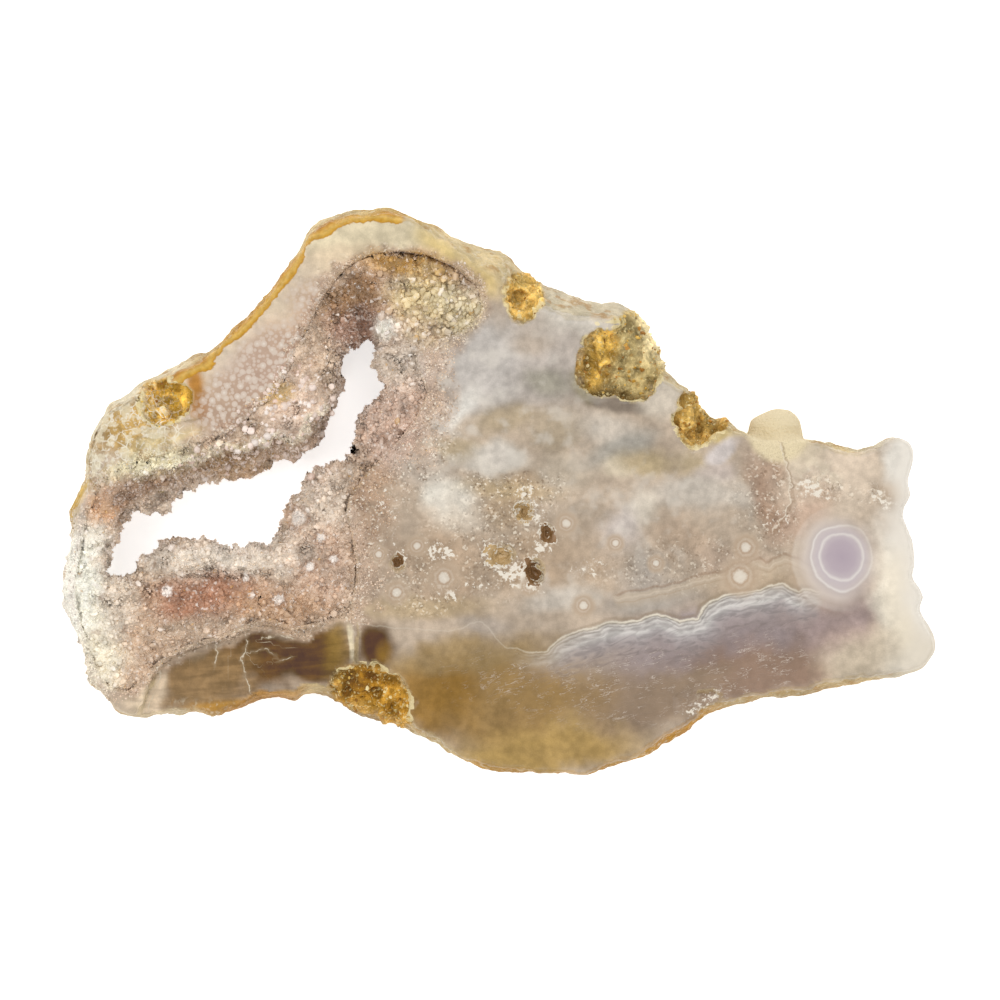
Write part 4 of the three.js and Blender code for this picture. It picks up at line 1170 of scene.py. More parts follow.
    def mottle(self, g: Graph, colour: Socket) -> Socket:
        """Cloudy lights and darks of several sizes, with pale wisps."""
        still = g.maths("MAXIMUM", g.attribute("milky"), g.product(g.attribute("flaky"), 0.6))
        calm = g.maths("SUBTRACT", 1.0, g.product(still, 0.9))
        plain = colour
        colour = g.shade(colour, g.step(g.noise(5.5, 5.0, bend=0.25), 0.3, 0.7), 0.84, 1.16)
        colour = g.shade(colour, g.step(g.noise(1.3, 4.0), 0.3, 0.7), 0.9, 1.1)
        colour = g.shade(colour, g.noise(0.25, 1.0), 0.88, 1.12)
        colour = g.mix(calm, plain, colour)
        grained = g.noise(1.0, 2.0, g.scaled(g.place, (0.16, 0.9, 1.0), -4.0), 0.4)
        lines = g.shade(colour, g.step(grained, 0.34, 0.66), 0.86, 1.16)
        colour = g.mix(g.attribute("facets"), colour, lines)
        mist = g.step(g.noise(3.6, 3.0), 0.48, 0.68)
        return g.mix(g.product(mist, g.attribute("cloudy"), 0.45), colour, "#ddd6cc")

    def bubbles(self, g: Graph, colour: Socket) -> Socket:
        """Pale cut bubbles in a flushed ground."""
        area = g.attribute("bubbly")
        large = g.cells(1.25)
        small = g.cells(0.72)
        disc = g.maths("MAXIMUM", g.step(large, 0.52, 0.36), g.product(g.step(small, 0.5, 0.32), 0.75))
        net = g.mix(g.product(area, 0.62), colour, "#b3927e")
        pale = g.mix(g.product(area, disc, 0.85), net, "#d9cabd")
        core = g.product(area, g.step(large, 0.26, 0.1), 0.45)
        return g.mix(core, pale, "#ece5dc")

    def sugar(self, g: Graph, colour: Socket) -> Socket:
        """Fine crystalline grains with bright and dark specks."""
        area = g.maths("MAXIMUM", g.attribute("sugary"), g.attribute("druse_near"))
        broken = g.product(area, g.step(g.noise(1.6, 3.0), 0.34, 0.56))
        fine = self.grain(g, 0.34)
        coarse = self.grain(g, 0.75)
        speckled = g.shade(g.shade(colour, fine, 0.72, 1.22), coarse, 0.86, 1.12)
        colour = g.mix(broken, colour, speckled)
        colour = g.mix(g.product(broken, g.step(fine, 0.84, 0.92), 0.75), colour, "#f3eada")
        return g.mix(g.product(broken, g.step(fine, 0.1, 0.04), 0.5), colour, "#7d6246")

    def crystal_rims(self, g: Graph, colour: Socket) -> Socket:
        """Ragged white quartz round the pits, with brown between."""
        area = g.attribute("rims")
        ragged = g.maths("ADD", g.noise(0.8, 4.0), g.maths("MULTIPLY", g.maths("SUBTRACT", area, 1.0), 0.25))
        colour = g.mix(g.product(g.step(ragged, 0.47, 0.51), g.step(area, 0.0, 0.2), 0.9), colour, "#eee6d9")
        grains = g.step(g.cells(0.55), 0.3, 0.15)
        colour = g.mix(g.product(grains, area, 0.5), colour, "#fbf7f0")
        return g.mix(g.product(area, g.step(ragged, 0.4, 0.34), 0.4), colour, "#8c6f52")

    def grain(self, g: Graph, size: float) -> Socket:
        """A random value from 0 to 1 for each grain of a size."""
        split = g.node("ShaderNodeSeparateColor")
        g.feed(split.inputs[0], g.cells(size, output="Color"))
        return split.outputs[0]

    def flakes(self, g: Graph, colour: Socket) -> Socket:
        """Small bright conchoidal flakes in rows that rise slightly to the right."""
        area = g.attribute("flaky")
        place = g.scaled(g.place, (0.45, 1.7, 1.0), -14.0)
        streak = g.noise(1.0, 3.0, place, 1.1)
        light = g.bump_between(streak, 0.56, 0.03)
        dark = g.bump_between(streak, 0.52, 0.035)
        break_up = g.step(g.noise(2.2, 3.0), 0.45, 0.6)
        colour = g.mix(g.product(area, dark, break_up, 0.35), colour, "#7d6757")
        return g.mix(g.product(area, light, break_up, 0.6), colour, "#ded2c9")

    def laces(self, g: Graph, colour: Socket, front: Socket) -> Socket:
        """The white lace with its fine lines and the tan lace above it."""
        wave = g.maths("MULTIPLY", g.maths("SUBTRACT", g.noise(1.8, 3.0), 0.5), 1.1)
        depth = g.maths("ADD", g.attribute("lace"), wave)
        weight = g.product(g.attribute("lace_weight"), front)
        strong = g.attribute("lace_strong")
        band = g.ramp(g.maths("MULTIPLY", depth, 0.1, clamp=True), LACE_STOPS)
        drift = g.noise(1.0, 3.0, g.scaled(g.place, (0.3, 0.8, 1.0), -14.0), 1.4)
        band = g.shade(band, g.step(drift, 0.34, 0.64), 0.76, 1.18)
        fade = g.maths("ADD", depth, g.maths("MULTIPLY", g.maths("SUBTRACT", drift, 0.5), 9.0))
        cover = g.product(weight, strong, g.step(depth, -0.35, 0.0), g.step(fade, 8.0, 2.5))
        colour = g.mix(g.product(cover, 0.88), colour, band)
        thin = g.product(weight, g.bump_between(depth, 0.0, 0.22), g.maths("MULTIPLY_ADD", strong, 0.35, 0.25))
        colour = g.mix(g.product(thin, 0.9), colour, "#e2d9c8")
        shadow = g.product(weight, g.bump_between(depth, -0.5, 0.5), strong)
        colour = g.mix(g.product(shadow, 0.5), colour, "#907f6a")
        tan = g.maths("ADD", g.attribute("tan_lace"), wave)
        tan_weight = g.product(g.attribute("tan_lace_weight"), front)
        fill = g.product(tan_weight, g.step(tan, -0.1, 0.3), g.step(tan, 3.4, 1.0), 0.5)
        colour = g.mix(fill, colour, "#c9b8a2")
        for middle, width, share, code in ((-0.2, 0.4, 0.45, "#957860"), (0.7, 0.25, 0.4, "#d9cab8"),
                                           (1.3, 0.25, 0.3, "#a38a72")):
            colour = g.mix(g.product(tan_weight, g.bump_between(tan, middle, width), share), colour, code)
        return colour

    def flowers(self, g: Graph, colour: Socket, front: Socket) -> Socket:
        """White dots with a brown and a pale ring."""
        place = g.scaled(g.place, (1.0, 1.0, 0.0))
        nearest: Socket | None = None
        for flower in FLOWERS:
            away = g.node("ShaderNodeVectorMath", operation="DISTANCE")
            g.feed(away.inputs[0], place)
            away.inputs[1].default_value = (*flower.centre, 0.0)
            reach = g.maths("DIVIDE", away.outputs["Value"], flower.radius)
            nearest = reach if nearest is None else g.maths("MINIMUM", nearest, reach)
        uneven = g.maths("ADD", nearest, g.maths("MULTIPLY", g.maths("SUBTRACT", g.noise(0.8, 3.0), 0.5), 0.7))
        ringed = g.ramp(g.maths("DIVIDE", uneven, 3.0, clamp=True), FLOWER_STOPS)
        cover = g.product(front, g.step(uneven, 2.9, 1.6), 0.75)
        return g.mix(cover, colour, ringed)

    def eye_rings(self, g: Graph, colour: Socket, front: Socket) -> Socket:
        """The eye: a lilac disc, white rings and fading tan arcs."""
        place = g.scaled(g.place, (1.0, 0.93, 0.0))
        away = g.node("ShaderNodeVectorMath", operation="DISTANCE")
        g.feed(away.inputs[0], place)
        away.inputs[1].default_value = (self.eye.centre[0], self.eye.centre[1] * 0.93, 0.0)
        wave = g.maths("MULTIPLY", g.maths("SUBTRACT", g.noise(5.0, 3.0), 0.5), 1.5)
        reach = g.maths("ADD", away.outputs["Value"], wave)
        rings = g.ramp(g.maths("DIVIDE", reach, 12.0, clamp=True), EYE_STOPS)
        cover = g.product(front, g.step(reach, 11.0, 5.0), g.attribute("eye_side"))
        return g.mix(cover, colour, rings)

    def cracks(self, g: Graph, colour: Socket, front: Socket) -> Socket:
        """Fractures: a pale edge painted as the highlight on the broken step, with a brown line of painted shade beside
        it.
        """
        wave = g.maths("MULTIPLY", g.maths("SUBTRACT", g.noise(1.5, 3.0), 0.5), 2.4)
        offset = g.maths("ADD", g.attribute("fracture"), wave)
        weight = g.product(g.attribute("fracture_weight"), front)
        # Painted shade: a brown line beside the fracture. Painted highlight: the pale edge of the broken step.
        colour = g.mix(g.product(weight, g.bump_between(offset, 0.35, 0.4), 0.45), colour, "#8a6f58")
        colour = g.mix(g.product(weight, g.bump_between(offset, 0.0, 0.22), 0.65), colour, "#e8ddcc")
        wave = g.maths("MULTIPLY", g.maths("SUBTRACT", g.noise(1.1, 3.0), 0.5), 1.4)
        offset = g.maths("ADD", g.attribute("facet_crack"), wave)
        facets = g.product(g.attribute("facet_crack_weight"), g.attribute("facets"))
        colour = g.mix(g.product(facets, g.bump_between(offset, 0.0, 0.6), 0.22), colour, "#b7a78f")
        broken = g.step(g.noise(1.6, 3.0), 0.4, 0.56)
        colour = g.mix(g.product(facets, g.bump_between(offset, 0.0, 0.16), broken, 0.75), colour, "#e6dcc8")
        shoulder = g.attribute("shoulder")
        facets = g.shade(g.shade(colour, self.grain(g, 1.9), 0.84, 1.12), self.grain(g, 0.7), 0.86, 1.12)
        colour = g.mix(shoulder, colour, facets)
        # Painted highlights: near-white lines along the cell edges, where the shoulder's chipped facets catch light.
        edges = g.step(g.cells(1.7, feature="DISTANCE_TO_EDGE"), 0.07, 0.02)
        edges = g.product(shoulder, edges, g.step(g.noise(2.0, 3.0), 0.42, 0.55), 0.8)
        colour = g.mix(edges, colour, "#f8f2e2")
        chips = g.attribute("chipped")
        tone = g.noise(2.2, 3.0)
        colour = g.mix(g.product(chips, g.step(tone, 0.49, 0.55), 0.6), colour, "#f1e7cc")
        colour = g.mix(g.product(chips, g.step(g.noise(0.7, 3.0), 0.55, 0.64), 0.6), colour, "#f4eddf")
        return g.mix(g.product(chips, g.step(tone, 0.43, 0.36), 0.5), colour, "#b08f55")

    def rind(self, g: Graph, colour: Socket, front: Socket) -> Socket:
        """The golden layer below the rind on the upper left."""
        wave = g.maths("MULTIPLY", g.maths("SUBTRACT", g.noise(1.2, 3.0), 0.5), 1.3)
        depth = g.maths("SUBTRACT", g.maths("ADD", g.attribute("rind_edge"), wave), 0.8)
        weight = g.product(g.attribute("rind_edge_weight"), front)
        band = g.ramp(g.maths("DIVIDE", g.maths("MULTIPLY", depth, -1.0), 3.0, clamp=True), RIND_STOPS)
        streaked = g.shade(band, g.noise(0.8, 3.0), 0.6, 1.35)
        return g.mix(g.product(weight, g.step(depth, 0.12, -0.12), g.step(depth, -3.6, -2.4)), colour, streaked)

    def stains(self, g: Graph, colour: Socket) -> Socket:
        """Iron stains and pale crust on the rough sides, golden crust in pockets with a cream band on their lips that
        is partly a painted highlight, dark pits.
        """
        plain = g.maths("MAXIMUM", g.attribute("milky"), g.attribute("facets"))
        side = g.product(g.attribute("side"), g.maths("SUBTRACT", 1.0, plain))
        stain = g.step(g.noise(2.4, 3.0), 0.52, 0.66)
        colour = g.mix(g.product(side, stain, 0.55), colour, "#b07f3c")
        crust = g.step(g.noise(0.9, 3.0), 0.5, 0.7)
        colour = g.mix(g.product(side, crust, 0.45), colour, "#ece2cc")
        pocket = g.attribute("pocket")
        colour = g.mix(pocket, colour, g.shade(colour, g.noise(0.8, 4.0), 0.6, 1.7))
        bright = g.step(g.noise(0.6, 2.0), 0.56, 0.68)
        colour = g.mix(g.product(pocket, bright, 0.7), colour, "#eedda8")
        colour = g.mix(pocket, colour, g.shade(colour, self.grain(g, 0.5), 0.78, 1.22))
        rust = g.step(g.noise(1.4, 3.0), 0.6, 0.7)
        colour = g.mix(g.product(pocket, rust, 0.3), colour, "#b9812c")
        # A cream band along the pockets' lips: partly the rim crust's own pale colour, partly a painted highlight on
        # the edge.
        lip = g.maths("ADD", g.attribute("lip"), g.maths("SUBTRACT", g.noise(0.8, 3.0), 0.5))
        colour = g.mix(g.product(g.step(lip, 0.45, 0.6), 0.75), colour, "#efdfaf")
        ragged = g.maths("MULTIPLY", g.maths("SUBTRACT", g.noise(1.1, 4.0), 0.5), 2.3)
        pit = g.maths("ADD", g.attribute("pit"), ragged)
        rim = g.product(g.step(pit, 0.3, 0.4), g.step(g.noise(1.0, 3.0), 0.43, 0.5), g.step(g.attribute("pit"), 0.0, 0.1))
        colour = g.mix(g.product(rim, 0.8), colour, "#ede5d7")
        floor = g.mix(g.attribute("tan_pit"), "#8a6b4d", "#bfa277")
        floor = g.shade(floor, g.step(g.noise(0.9, 3.0), 0.3, 0.7), 0.84, 1.16)
        return g.mix(g.product(g.step(pit, 0.52, 0.58), g.step(g.attribute("pit"), 0.0, 0.2)), colour, floor)

    def relief(self, g: Graph, polished: Socket) -> Socket:
        """Grit on the rough sides, faint flake edges and sugary grains on the face."""
        rough_share = g.maths("SUBTRACT", 1.0, polished)
        grit = g.maths("MULTIPLY", g.noise(0.5, 3.0), rough_share)
        first = g.bump(grit, 0.5)
        place = g.scaled(g.place, (0.45, 1.7, 1.0), -14.0)
        flakes = g.maths("MULTIPLY", g.noise(1.0, 2.0, place, 1.1), g.attribute("flaky"))
        second = g.bump(flakes, 0.12, first)
        area = g.maths("MAXIMUM", g.attribute("sugary"), g.attribute("druse_near"))
        third = g.bump(g.maths("MULTIPLY", g.cells(0.4), area), 0.1, second)
        return g.bump(g.product(self.saw_lines(g), g.attribute("sawn")), 0.15, third)


@dataclass
class CrystalBed:
    """The crust that lines the hollow, below the single crystals. Sizes are in millimetres."""

    voxel: float = 0.42
    tuck: float = 0.5
    lumps: float = 1.1
    knobs: float = 0.5
    teeth: float = 1.1
    room: float = 0.3
    shelf_drop: float = 2.6
    overlap: float = 1.8

    def build(self) -> Piece:
        """Makes, shapes, paints and dresses the crust.

        Returns:
            The finished piece.
        """
        piece = refined("crystal_bed", Node.CRUST, self.voxel)
        hidden = facing_stone(piece.points, piece.facing, 1.0)
        foot = smooth(1.6, 0.9, piece.points[:, 2])
        self.meet_face(piece, hidden)
        piece.soften(0.5 * smooth(12.6, 11.2, piece.points[:, 2]), 4)
        open_share = (1.0 - hidden) * (1.0 - foot)
        relief = rough(piece.points, 4.0, 41, 3) * self.lumps * 0.5
        knobs = (ridged(piece.points, 2.3, 47, 4) - 0.6) * self.knobs * 2.0
        steep = smooth(0.5, 0.1, piece.facing[:, 2]) * open_share
        teeth = (ridged(piece.points, 1.9, 59, 3) - 0.5) * self.teeth * 2.0
        piece.push(open_share * (relief + knobs - self.room) + steep * teeth + hidden * (1.0 - foot) * self.tuck)
        piece.points[:, 2] = np.clip(piece.points[:, 2], 0.3, FACE_HEIGHT - 0.05)
        piece.write()
        self.hidden = facing_stone(piece.points, piece.facing, 0.6)
        piece.tint("tint", druse_tones(piece.points))
        # Height of the lumps, which the finish turns into painted shade in the hollows and painted light on the crests.
        piece.note("crest", np.clip(0.5 + (relief + knobs), 0.0, 1.0))
        piece.dress(self.material(), Slot.DRUZY, True)
        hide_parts(Node.CRUST.value)
        return piece

    def meet_face(self, piece: Piece, hidden: Array) -> None:
        """Raises the crust to the polished face along the hollow's margin, and lowers it under the shelf.

        Args:
            piece: The crust.
            hidden: 1 where the crust touches the stone's wall.
        """
        height = piece.points[:, 2]
        wall = (hidden > 0.5) & (height > 8.0)
        away, which = nearest(piece.points, piece.points[wall])
        outward = piece.facing[wall][which] * (1.0, 1.0, 0.0)
        near = smooth(3.4, 0.0, away) * smooth(5.0, 8.0, height)
        height += (1.0 - hidden) * near * np.maximum(FACE_HEIGHT - 0.3 - height, 0.0)
        piece.soften(0.55 * (1.0 - hidden) * smooth(5.0, 2.5, away) * smooth(9.0, 12.0, height), 7)
        height = piece.points[:, 2]
        edge = (1.0 - hidden) * smooth(2.2, 0.9, away) * smooth(7.0, 10.0, height)
        height += edge * np.maximum(FACE_HEIGHT - 0.3 - height, 0.0)
        piece.points += (edge * self.overlap)[:, None] * outward
        height -= (1.0 - hidden) * self.shelf_drop * under_shelf(piece.points) * smooth(3.0, 6.0, height)
        piece.write()

    def material(self) -> bpy.types.Material:
        """Sugary quartz, painted darker in the crust's hollows and lighter on its crests as painted shade and light,
        with white clusters and brown pits.
        """
        g = Graph("crystal_bed_finish")
        colour = g.sugar(g.shade(g.colours("tint"), g.attribute("crest"), 0.82, 1.12))
        relief = g.bump(g.cells(0.5), 0.2)
        return g.close(colour, 0.4, relief)


def scatter(piece: Piece, weight: Array, spacing: float, most: int, chance: np.random.Generator) -> tuple[Array, Array]:
    """Spreads places evenly over a piece.

    Args:
        piece: The piece to stand on.
        weight: How dense the places are at each of its points, from 0 to 1.
        spacing: Distance between places in millimetres.
        most: The largest number of places.
        chance: The source of random numbers.

    Returns:
        Places in millimetres and the directions that the surface faces there.
    """
    mesh = piece.object.data
    mesh.calc_loop_triangles()
    corners = np.empty(len(mesh.loop_triangles) * 3, dtype=np.int64)
    mesh.loop_triangles.foreach_get("vertices", corners)
    corners = corners.reshape(-1, 3)
    dense = weight[corners].min(axis=1)
    corners, dense = corners[dense > 0.0], dense[dense > 0.0]
    a, b, c = (piece.points[corners[:, i]] for i in range(3))
    area = np.linalg.norm(np.cross(b - a, c - a), axis=1) / 2
    LOG.info("%s offers %.0f square millimetres", piece.object.name, area.sum())
    share = area * dense
    count = int(min(500000, share.sum() / spacing**2 * 5))
    pick = chance.choice(len(corners), count, p=share / share.sum())
    u, v = chance.random(count), chance.random(count)
    over = u + v > 1
    u[over], v[over] = 1 - u[over], 1 - v[over]
    places = a[pick] + u[:, None] * (b - a)[pick] + v[:, None] * (c - a)[pick]
    ways = piece.facing[corners[pick]].mean(axis=1)
    _, first = np.unique(np.floor(places / spacing).astype(np.int64), axis=0, return_index=True)
    kept = first[chance.random(len(first)) < np.sqrt(dense[pick][first])]
    kept = chance.permutation(kept)[:most]
    return places[kept], ways[kept]


def joined(name: str, shapes: Array, faces: Array) -> Piece:
    """Joins copies of one small shape to a mesh.

    Args:
        name: Name of the piece.
        shapes: Points in millimetres: one copy, one corner, one axis.
        faces: Corners of the faces of one copy.

    Returns:
        The piece.
    """
    count, corners = shapes.shape[:2]
    every = (faces[None] + corners * np.arange(count)[:, None, None]).reshape(-1, 3)
    mesh = bpy.data.meshes.new(name)
    mesh.from_pydata((shapes.reshape(-1, 3) * MM).tolist(), [], every.tolist())
    return Piece(add_object(name, mesh))


def ball(fineness: int) -> tuple[Array, Array]:
    """Corners and faces of a ball with a radius of one."""
    work = bmesh.new()
    bmesh.ops.create_icosphere(work, subdivisions=fineness, radius=1.0)
    corners = np.array([vertex.co for vertex in work.verts])
    faces = np.array([[vertex.index for vertex in face.verts] for face in work.faces])
    work.free()
    return corners, faces


@dataclass(frozen=True)
class Growth:
    """How one layer of quartz points grows. Sizes are in millimetres."""

    name: str
    spacing: float
    radius: Pair
    length: Pair
    seed: int
    lean: float
    lighter: float
    most: int
    necked: bool = False
    above_face: float = 0.25


BED_GROWTHS = [
    Growth("fine_quartz_points", 0.32, (0.14, 0.24), (0.14, 0.3), 3, 0.7, 1.0, 32000),
    Growth("small_quartz_points", 0.4, (0.18, 0.36), (0.2, 0.48), 4, 0.8, 1.0, 26000),
]
VALLEY_GROWTHS = [
    Growth("middle_quartz_points", 1.7, (0.26, 0.46), (0.4, 0.8), 5, 1.2, 1.0, 1400, True),
    Growth("large_quartz_points", 5.0, (0.4, 0.65), (0.6, 1.0), 7, 1.2, 1.02, 80, True),
]
CREAM_GROWTH = Growth("cream_quartz_points", 1.2, (0.35, 0.7), (0.7, 1.3), 13, 1.6, 0.97, 200, True)
CREAM_CLUSTER = [Patch("cream crystals", "", (-11.0, 31.8), (8.0, 5.4), 10.0, 1.0, 0.4)]
FRINGE_GROWTH = Growth("fringe_quartz_points", 0.34, (0.1, 0.24), (0.05, 0.26), 9, 0.8, 0.97, 24000, False, 0.2)


@dataclass
class QuartzPoints:
    """Six-sided quartz points joined to one mesh, standing on another piece."""

    growth: Growth
    ground: Piece
    weight: Array

    def build(self) -> Piece:
        """Makes, paints and dresses the points.

        Returns:
            The finished piece.
        """
        growth = self.growth
        chance = np.random.default_rng(growth.seed)
        places, ways = scatter(self.ground, self.weight, growth.spacing, growth.most, chance)
        count = len(places)
        ways = ways + chance.normal(0, growth.lean, (count, 3)) * 0.5
        ways /= np.linalg.norm(ways, axis=1)[:, None]
        side = np.cross(ways, chance.normal(0, 1, (count, 3)))
        side /= np.linalg.norm(side, axis=1)[:, None]
        other = np.cross(ways, side)
        size = chance.random(count) ** 1.6
        radius = growth.radius[0] + size * (growth.radius[1] - growth.radius[0])
        length = growth.length[0] + size * (growth.length[1] - growth.length[0])
        angles = np.arange(6) * math.pi / 3
        ring = np.cos(angles)[None, :, None] * side[:, None, :] + np.sin(angles)[None, :, None] * other[:, None, :]
        uneven = 1.0 + chance.uniform(-0.22, 0.22, (count, 6, 1))
        ring = ring * uneven * radius[:, None, None]
        shoulder = chance.uniform(0.2, 0.6, count) * length
        foot = places[:, None, :] + ring - (0.5 * length[:, None] * ways)[:, None, :]
        neck = places[:, None, :] + ring * 0.95 + (shoulder[:, None] * ways)[:, None, :]
        tips = places + (length[:, None]) * ways + side * (radius * chance.uniform(-0.3, 0.3, count))[:, None]
        rings = [foot, neck] if growth.necked else [foot]
        points = np.concatenate([*rings, tips[:, None, :]], axis=1)
        over = np.maximum(points[..., 2] - FACE_HEIGHT, 0.0)
        eased = FACE_HEIGHT + growth.above_face * np.tanh(over / growth.above_face)
        points[..., 2] = np.where(over > 0, eased, points[..., 2])
        piece = joined(growth.name, points, self.faces())
        corners = points.shape[1]
        base = druse_tones(places) * growth.lighter
        base *= chance.uniform(0.84, 1.18, (count, 1))
        stained = chance.random(count) < 0.008
        base[stained] = 0.5 * base[stained] + 0.5 * np.array(paint("#c99a4a")[:3])
        # Painted light: crystals on steep walls below the face are lightened, a glow standing in for the light table
        # shining through from below.
        steep = smooth(0.5, 0.0, ways[:, 2]) * smooth(FACE_HEIGHT, FACE_HEIGHT - 2.0, places[:, 2])
        base += (0.55 * steep)[:, None] * (np.array(paint("#eadbd0")[:3]) - base)
        # A few random crystals painted near white: pale crystals that also stand in for painted sparkle highlights.
        pale = chance.random(count) < 0.03
        base[pale] = 0.45 * base[pale] + 0.55 * np.array(paint("#efe7de")[:3])
        piece.tint("tint", np.repeat(held(base), corners, axis=0))
        heights = [0.0] * 6 + ([0.7] * 6 if growth.necked else []) + [1.0]
        piece.note("height", np.tile(heights, count))
        piece.dress(self.material(), Slot.DRUZY, False)
        return piece

    def faces(self) -> Array:
        """Corners of the faces of one quartz point."""
        last = 12 if self.growth.necked else 6
        made = []
        for i in range(6):
            j = (i + 1) % 6
            if self.growth.necked:
                made += [(i, j, 6 + j), (i, 6 + j, 6 + i), (6 + i, 6 + j, last)]
            else:
                made.append((i, j, last))
        return np.array(made)

    def material(self) -> bpy.types.Material:
        """Quartz painted darker towards the foot and lighter at the tip: painted shade between the crystals and painted
        light on the tips.
        """
        g = Graph(self.growth.name + "_finish")
        height = g.attribute("height")
        # Painted shade at the crystals' feet, painted light at their tips.
        colour = g.sugar(g.shade(g.colours("tint"), height, 0.94, 1.08))
        return g.close(colour, 0.18, None)


@dataclass
class Grains:
    """Small uneven grains that stand on another piece: golden crumbs or pale bubbles."""

    name: str
    ground: Piece
    weight: Array
    spacing: float
    radius: Pair
    most: int
    uneven: float
    colours: Sequence[str]
    slot: Slot
    seed: int
    fineness: int = 1
    sunk: float = 0.15

    def build(self) -> Piece:
        """Makes, paints and dresses the grains.

        Returns:
            The finished piece.
        """
        chance = np.random.default_rng(self.seed)
        places, ways = scatter(self.ground, self.weight, self.spacing, self.most, chance)
        shape, faces = ball(self.fineness)
        count, corners = len(places), len(shape)
        size = self.radius[0] + (self.radius[1] - self.radius[0]) * chance.random(count) ** 2
        stretch = 1 + chance.uniform(-self.uneven, self.uneven, (count, 1, 3))
        wobble = 1 + chance.uniform(-self.uneven, self.uneven, (count, corners, 1))
        grains = shape[None] * stretch * wobble * size[:, None, None]
        grains += (places - ways * size[:, None] * self.sunk)[:, None, :]
        grains[..., 2] = np.minimum(grains[..., 2], FACE_HEIGHT + 0.12)
        piece = joined(self.name, grains, faces)
        tones = np.array([paint(code)[:3] for code in self.colours])
        tones = tones[chance.integers(0, len(tones), count)] * chance.uniform(0.85, 1.1, (count, 1))
        piece.tint("tint", np.repeat(held(tones), corners, axis=0))
        g = Graph(self.name + "_finish")
        colour = g.shade(g.colours("tint"), g.noise(0.5, 3.0), 0.7, 1.25)
        smooth_faces = self.fineness > 1
        relief = g.bump(g.noise(0.25, 3.0), 0.04)
        piece.dress(g.close(colour, 0.42, relief), self.slot, smooth_faces)
        return piece


@dataclass
class Studio:
    """Pale glowing floor, soft light and the camera straight above. Sizes are in millimetres."""

    lens: float = 180.0
    sensor: float = 36.0
    aim: Pair = (0.0, -1.275)
    level: float = 9.0
    floor_size: float = 4000.0

    def build(self) -> None:
        """Makes the floor, the light and the camera."""
        self.floor()
        self.sky()
        self.lamp("left_softbox", (-620.0, 120.0, 720.0), 560.0, 2.3)
        self.lamp("upper_softbox", (60.0, 620.0, 720.0), 560.0, 2.0)
        self.lamp("right_softbox", (640.0, -60.0, 720.0), 560.0, 1.3)
        self.lamp("lower_softbox", (-60.0, -640.0, 720.0), 560.0, 1.2)
        self.camera()

    def floor(self) -> None:
        """A pale floor that glows softly, as a light table does."""
        half = self.floor_size / 2 * MM
        mesh = bpy.data.meshes.new("floor")
        level = -0.00005
        corners = [(-half, -half, level), (half, -half, level), (half, half, level), (-half, half, level)]
        mesh.from_pydata(corners, [], [(0, 1, 2, 3)])
        floor = add_object("floor", mesh)
        g = Graph("floor_finish")
        mesh.materials.append(
            g.close(paint("#f2f2f2"), 0.9, None, Emission_Color=paint("#ffffff"), Emission_Strength=0.55)
        )

    def sky(self) -> None:
        """Even light from all sides."""
        world = bpy.data.worlds.new("studio")
        world.use_nodes = True
        world.node_tree.nodes["Background"].inputs["Color"].default_value = (1.0, 1.0, 1.0, 1.0)
        world.node_tree.nodes["Background"].inputs["Strength"].default_value = 0.72
        bpy.context.scene.world = world

    def lamp(self, name: str, place: tuple[float, float, float], size: float, power: float) -> None:
        """A square softbox that looks at the stone.

        Args:
            name: Name of the light.
            place: Where it hangs.
            size: Length of its side.
            power: Its power in watts.
        """
        light = bpy.data.lights.new(name, "AREA")
        light.size = size * MM
        light.energy = power
        holder = bpy.data.objects.new(name, light)
        bpy.context.scene.collection.objects.link(holder)
        holder.location = Vector(place) * MM
        holder.rotation_euler = (-holder.location).to_track_quat("-Z", "Y").to_euler()

    def camera(self) -> None:
        """A long lens straight above the stone, with the photograph's frame."""
        lens = bpy.data.cameras.new("camera")
        lens.lens = self.lens
        lens.sensor_width = self.sensor
        holder = bpy.data.objects.new("camera", lens)
        bpy.context.scene.collection.objects.link(holder)
        height = self.level + PHOTO_WIDTH * self.lens / self.sensor
        holder.location = (self.aim[0] * MM, self.aim[1] * MM, height * MM)
        bpy.context.scene.camera = holder


def fringe_weight(stone: Piece, druse: Array) -> Array:
    """How densely quartz points stand on the polished face round the hollow.

    Args:
        stone: The stone.
        druse: High points of the crystal bed.

    Returns:
        One weight for each point of the stone.
    """
    away = distance_to(stone.points, druse) / (0.6 + 2.2 * covered(stone.points, SUGARY_MARGIN))
    away += 0.9 * rough(stone.points, 2.2, 83, 4)
    level = smooth(FACE_HEIGHT - 2.5, FACE_HEIGHT - 1.5, stone.points[:, 2])
    level *= np.maximum(smooth(0.3, 0.6, stone.facing[:, 2]), smooth(1.4, 0.9, distance_to(stone.points, druse)))
    near = smooth(2.6, 0.4, away) * level
    pale_tip = covered(stone.points, DRUSY_RIM) * smooth(2.0, 5.0, stone.points[:, 2])
    return np.maximum(near, pale_tip) * (1.0 - pocket_share(stone.points))


def rim_weight(stone: Piece, druse: Array) -> Array:
    """How densely pale bubbles stand along the rim of the hollow, below the cut bubbles.

    Args:
        stone: The stone.
        druse: High points of the crystal bed.

    Returns:
        One weight for each point of the stone.
    """
    away = distance_to(stone.points, druse) + 0.7 * rough(stone.points, 2.2, 87, 4)
    level = smooth(FACE_HEIGHT - 1.0, FACE_HEIGHT - 0.4, stone.points[:, 2])
    return level * smooth(2.4, 0.4, away) * covered(stone.points, BUBBLY_WALL)


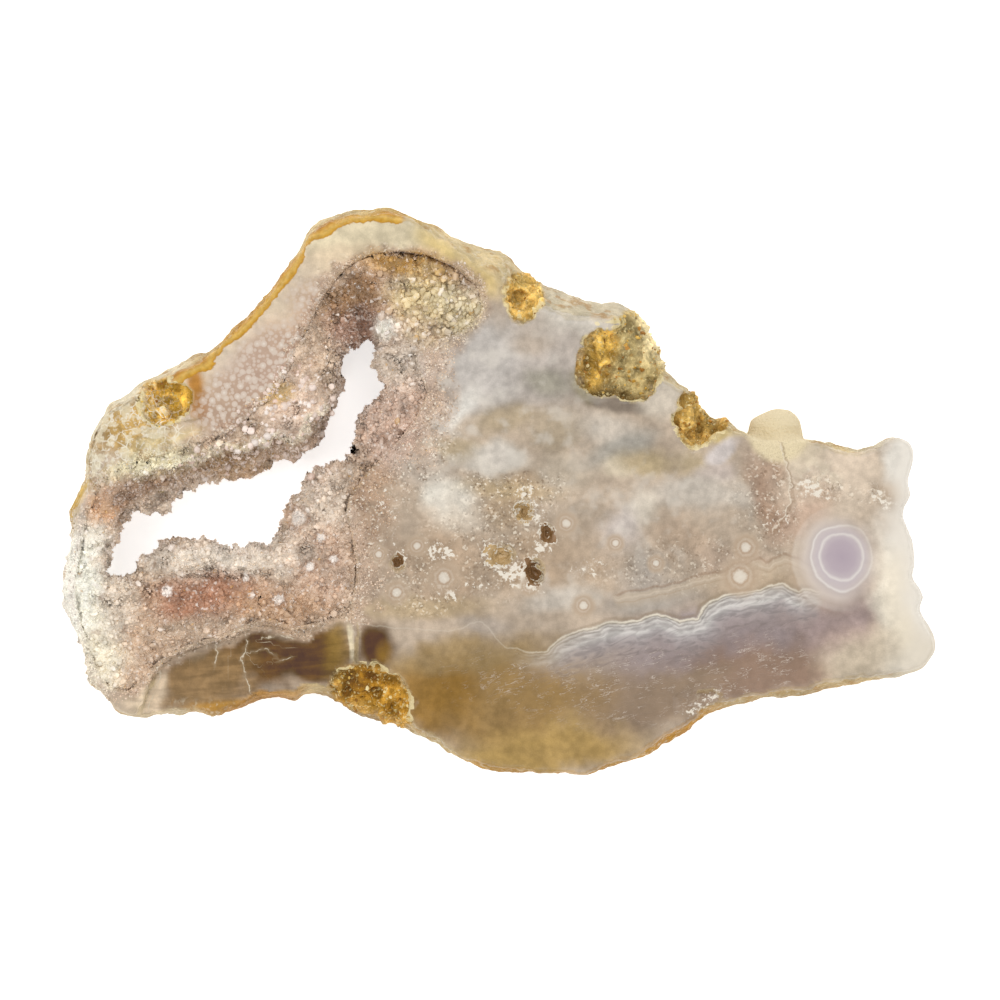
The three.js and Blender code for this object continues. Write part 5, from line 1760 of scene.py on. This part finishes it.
def report(piece: Piece) -> None:
    """Logs a piece's name and number of triangles."""
    mesh = piece.object.data
    mesh.calc_loop_triangles()
    LOG.info("%s: %d triangles", piece.object.name, len(mesh.loop_triangles))


def main() -> None:
    """Builds the stone, the crystals, the grains and the studio in order."""
    logging.basicConfig(level=logging.INFO, format="%(name)s %(message)s")
    crust = CrystalBed()
    bed = crust.build()
    report(bed)
    high = bed.points[bed.points[:, 2] > FACE_HEIGHT - 2.0]
    stone = Stone(high).build()
    report(stone)
    shown = (1.0 - crust.hidden) * smooth(0.9, 2.5, bed.points[:, 2])
    bubbly = covered(bed.points, BUBBLY_WALL)
    for growth in BED_GROWTHS:
        report(QuartzPoints(growth, bed, shown * (1.0 - 0.3 * bubbly)).build())
    upward = shown * smooth(0.2, 0.5, bed.facing[:, 2])
    for growth in VALLEY_GROWTHS:
        report(QuartzPoints(growth, bed, upward * (1.0 - bubbly)).build())
    report(QuartzPoints(CREAM_GROWTH, bed, upward * covered(bed.points, CREAM_CLUSTER)).build())
    report(QuartzPoints(FRINGE_GROWTH, stone, fringe_weight(stone, high)).build())
    pale = ("#e6d3c7", "#efe2d8", "#dcc3b4", "#e6d2c4")
    report(Grains("pale_bubbles", bed, shown * bubbly, 1.25, (0.35, 0.8), 420, 0.1, pale, Slot.DRUZY, 31, 2,
                  0.6).build())
    rim = rim_weight(stone, high)
    report(Grains("rim_bubbles", stone, rim, 0.9, (0.3, 0.7), 480, 0.1, pale, Slot.DRUZY, 37, 2, 0.8).build())
    walls = pocket_share(stone.points) * smooth(FACE_HEIGHT - 0.1, FACE_HEIGHT - 0.9, stone.points[:, 2])
    walls *= smooth(0.8, 3.0, stone.points[:, 2])
    report(Grains("golden_crumbs", stone, walls, 0.8, (0.12, 0.42), 420, 0.3,
                  ("#d8b154", "#b27d28", "#ecd9a0", "#96661f", "#c79a3e"), Slot.AGATE, 29).build())
    Studio().build()
    bpy.context.scene.view_settings.view_transform = "Standard"


if __name__ == "__main__":
    main()
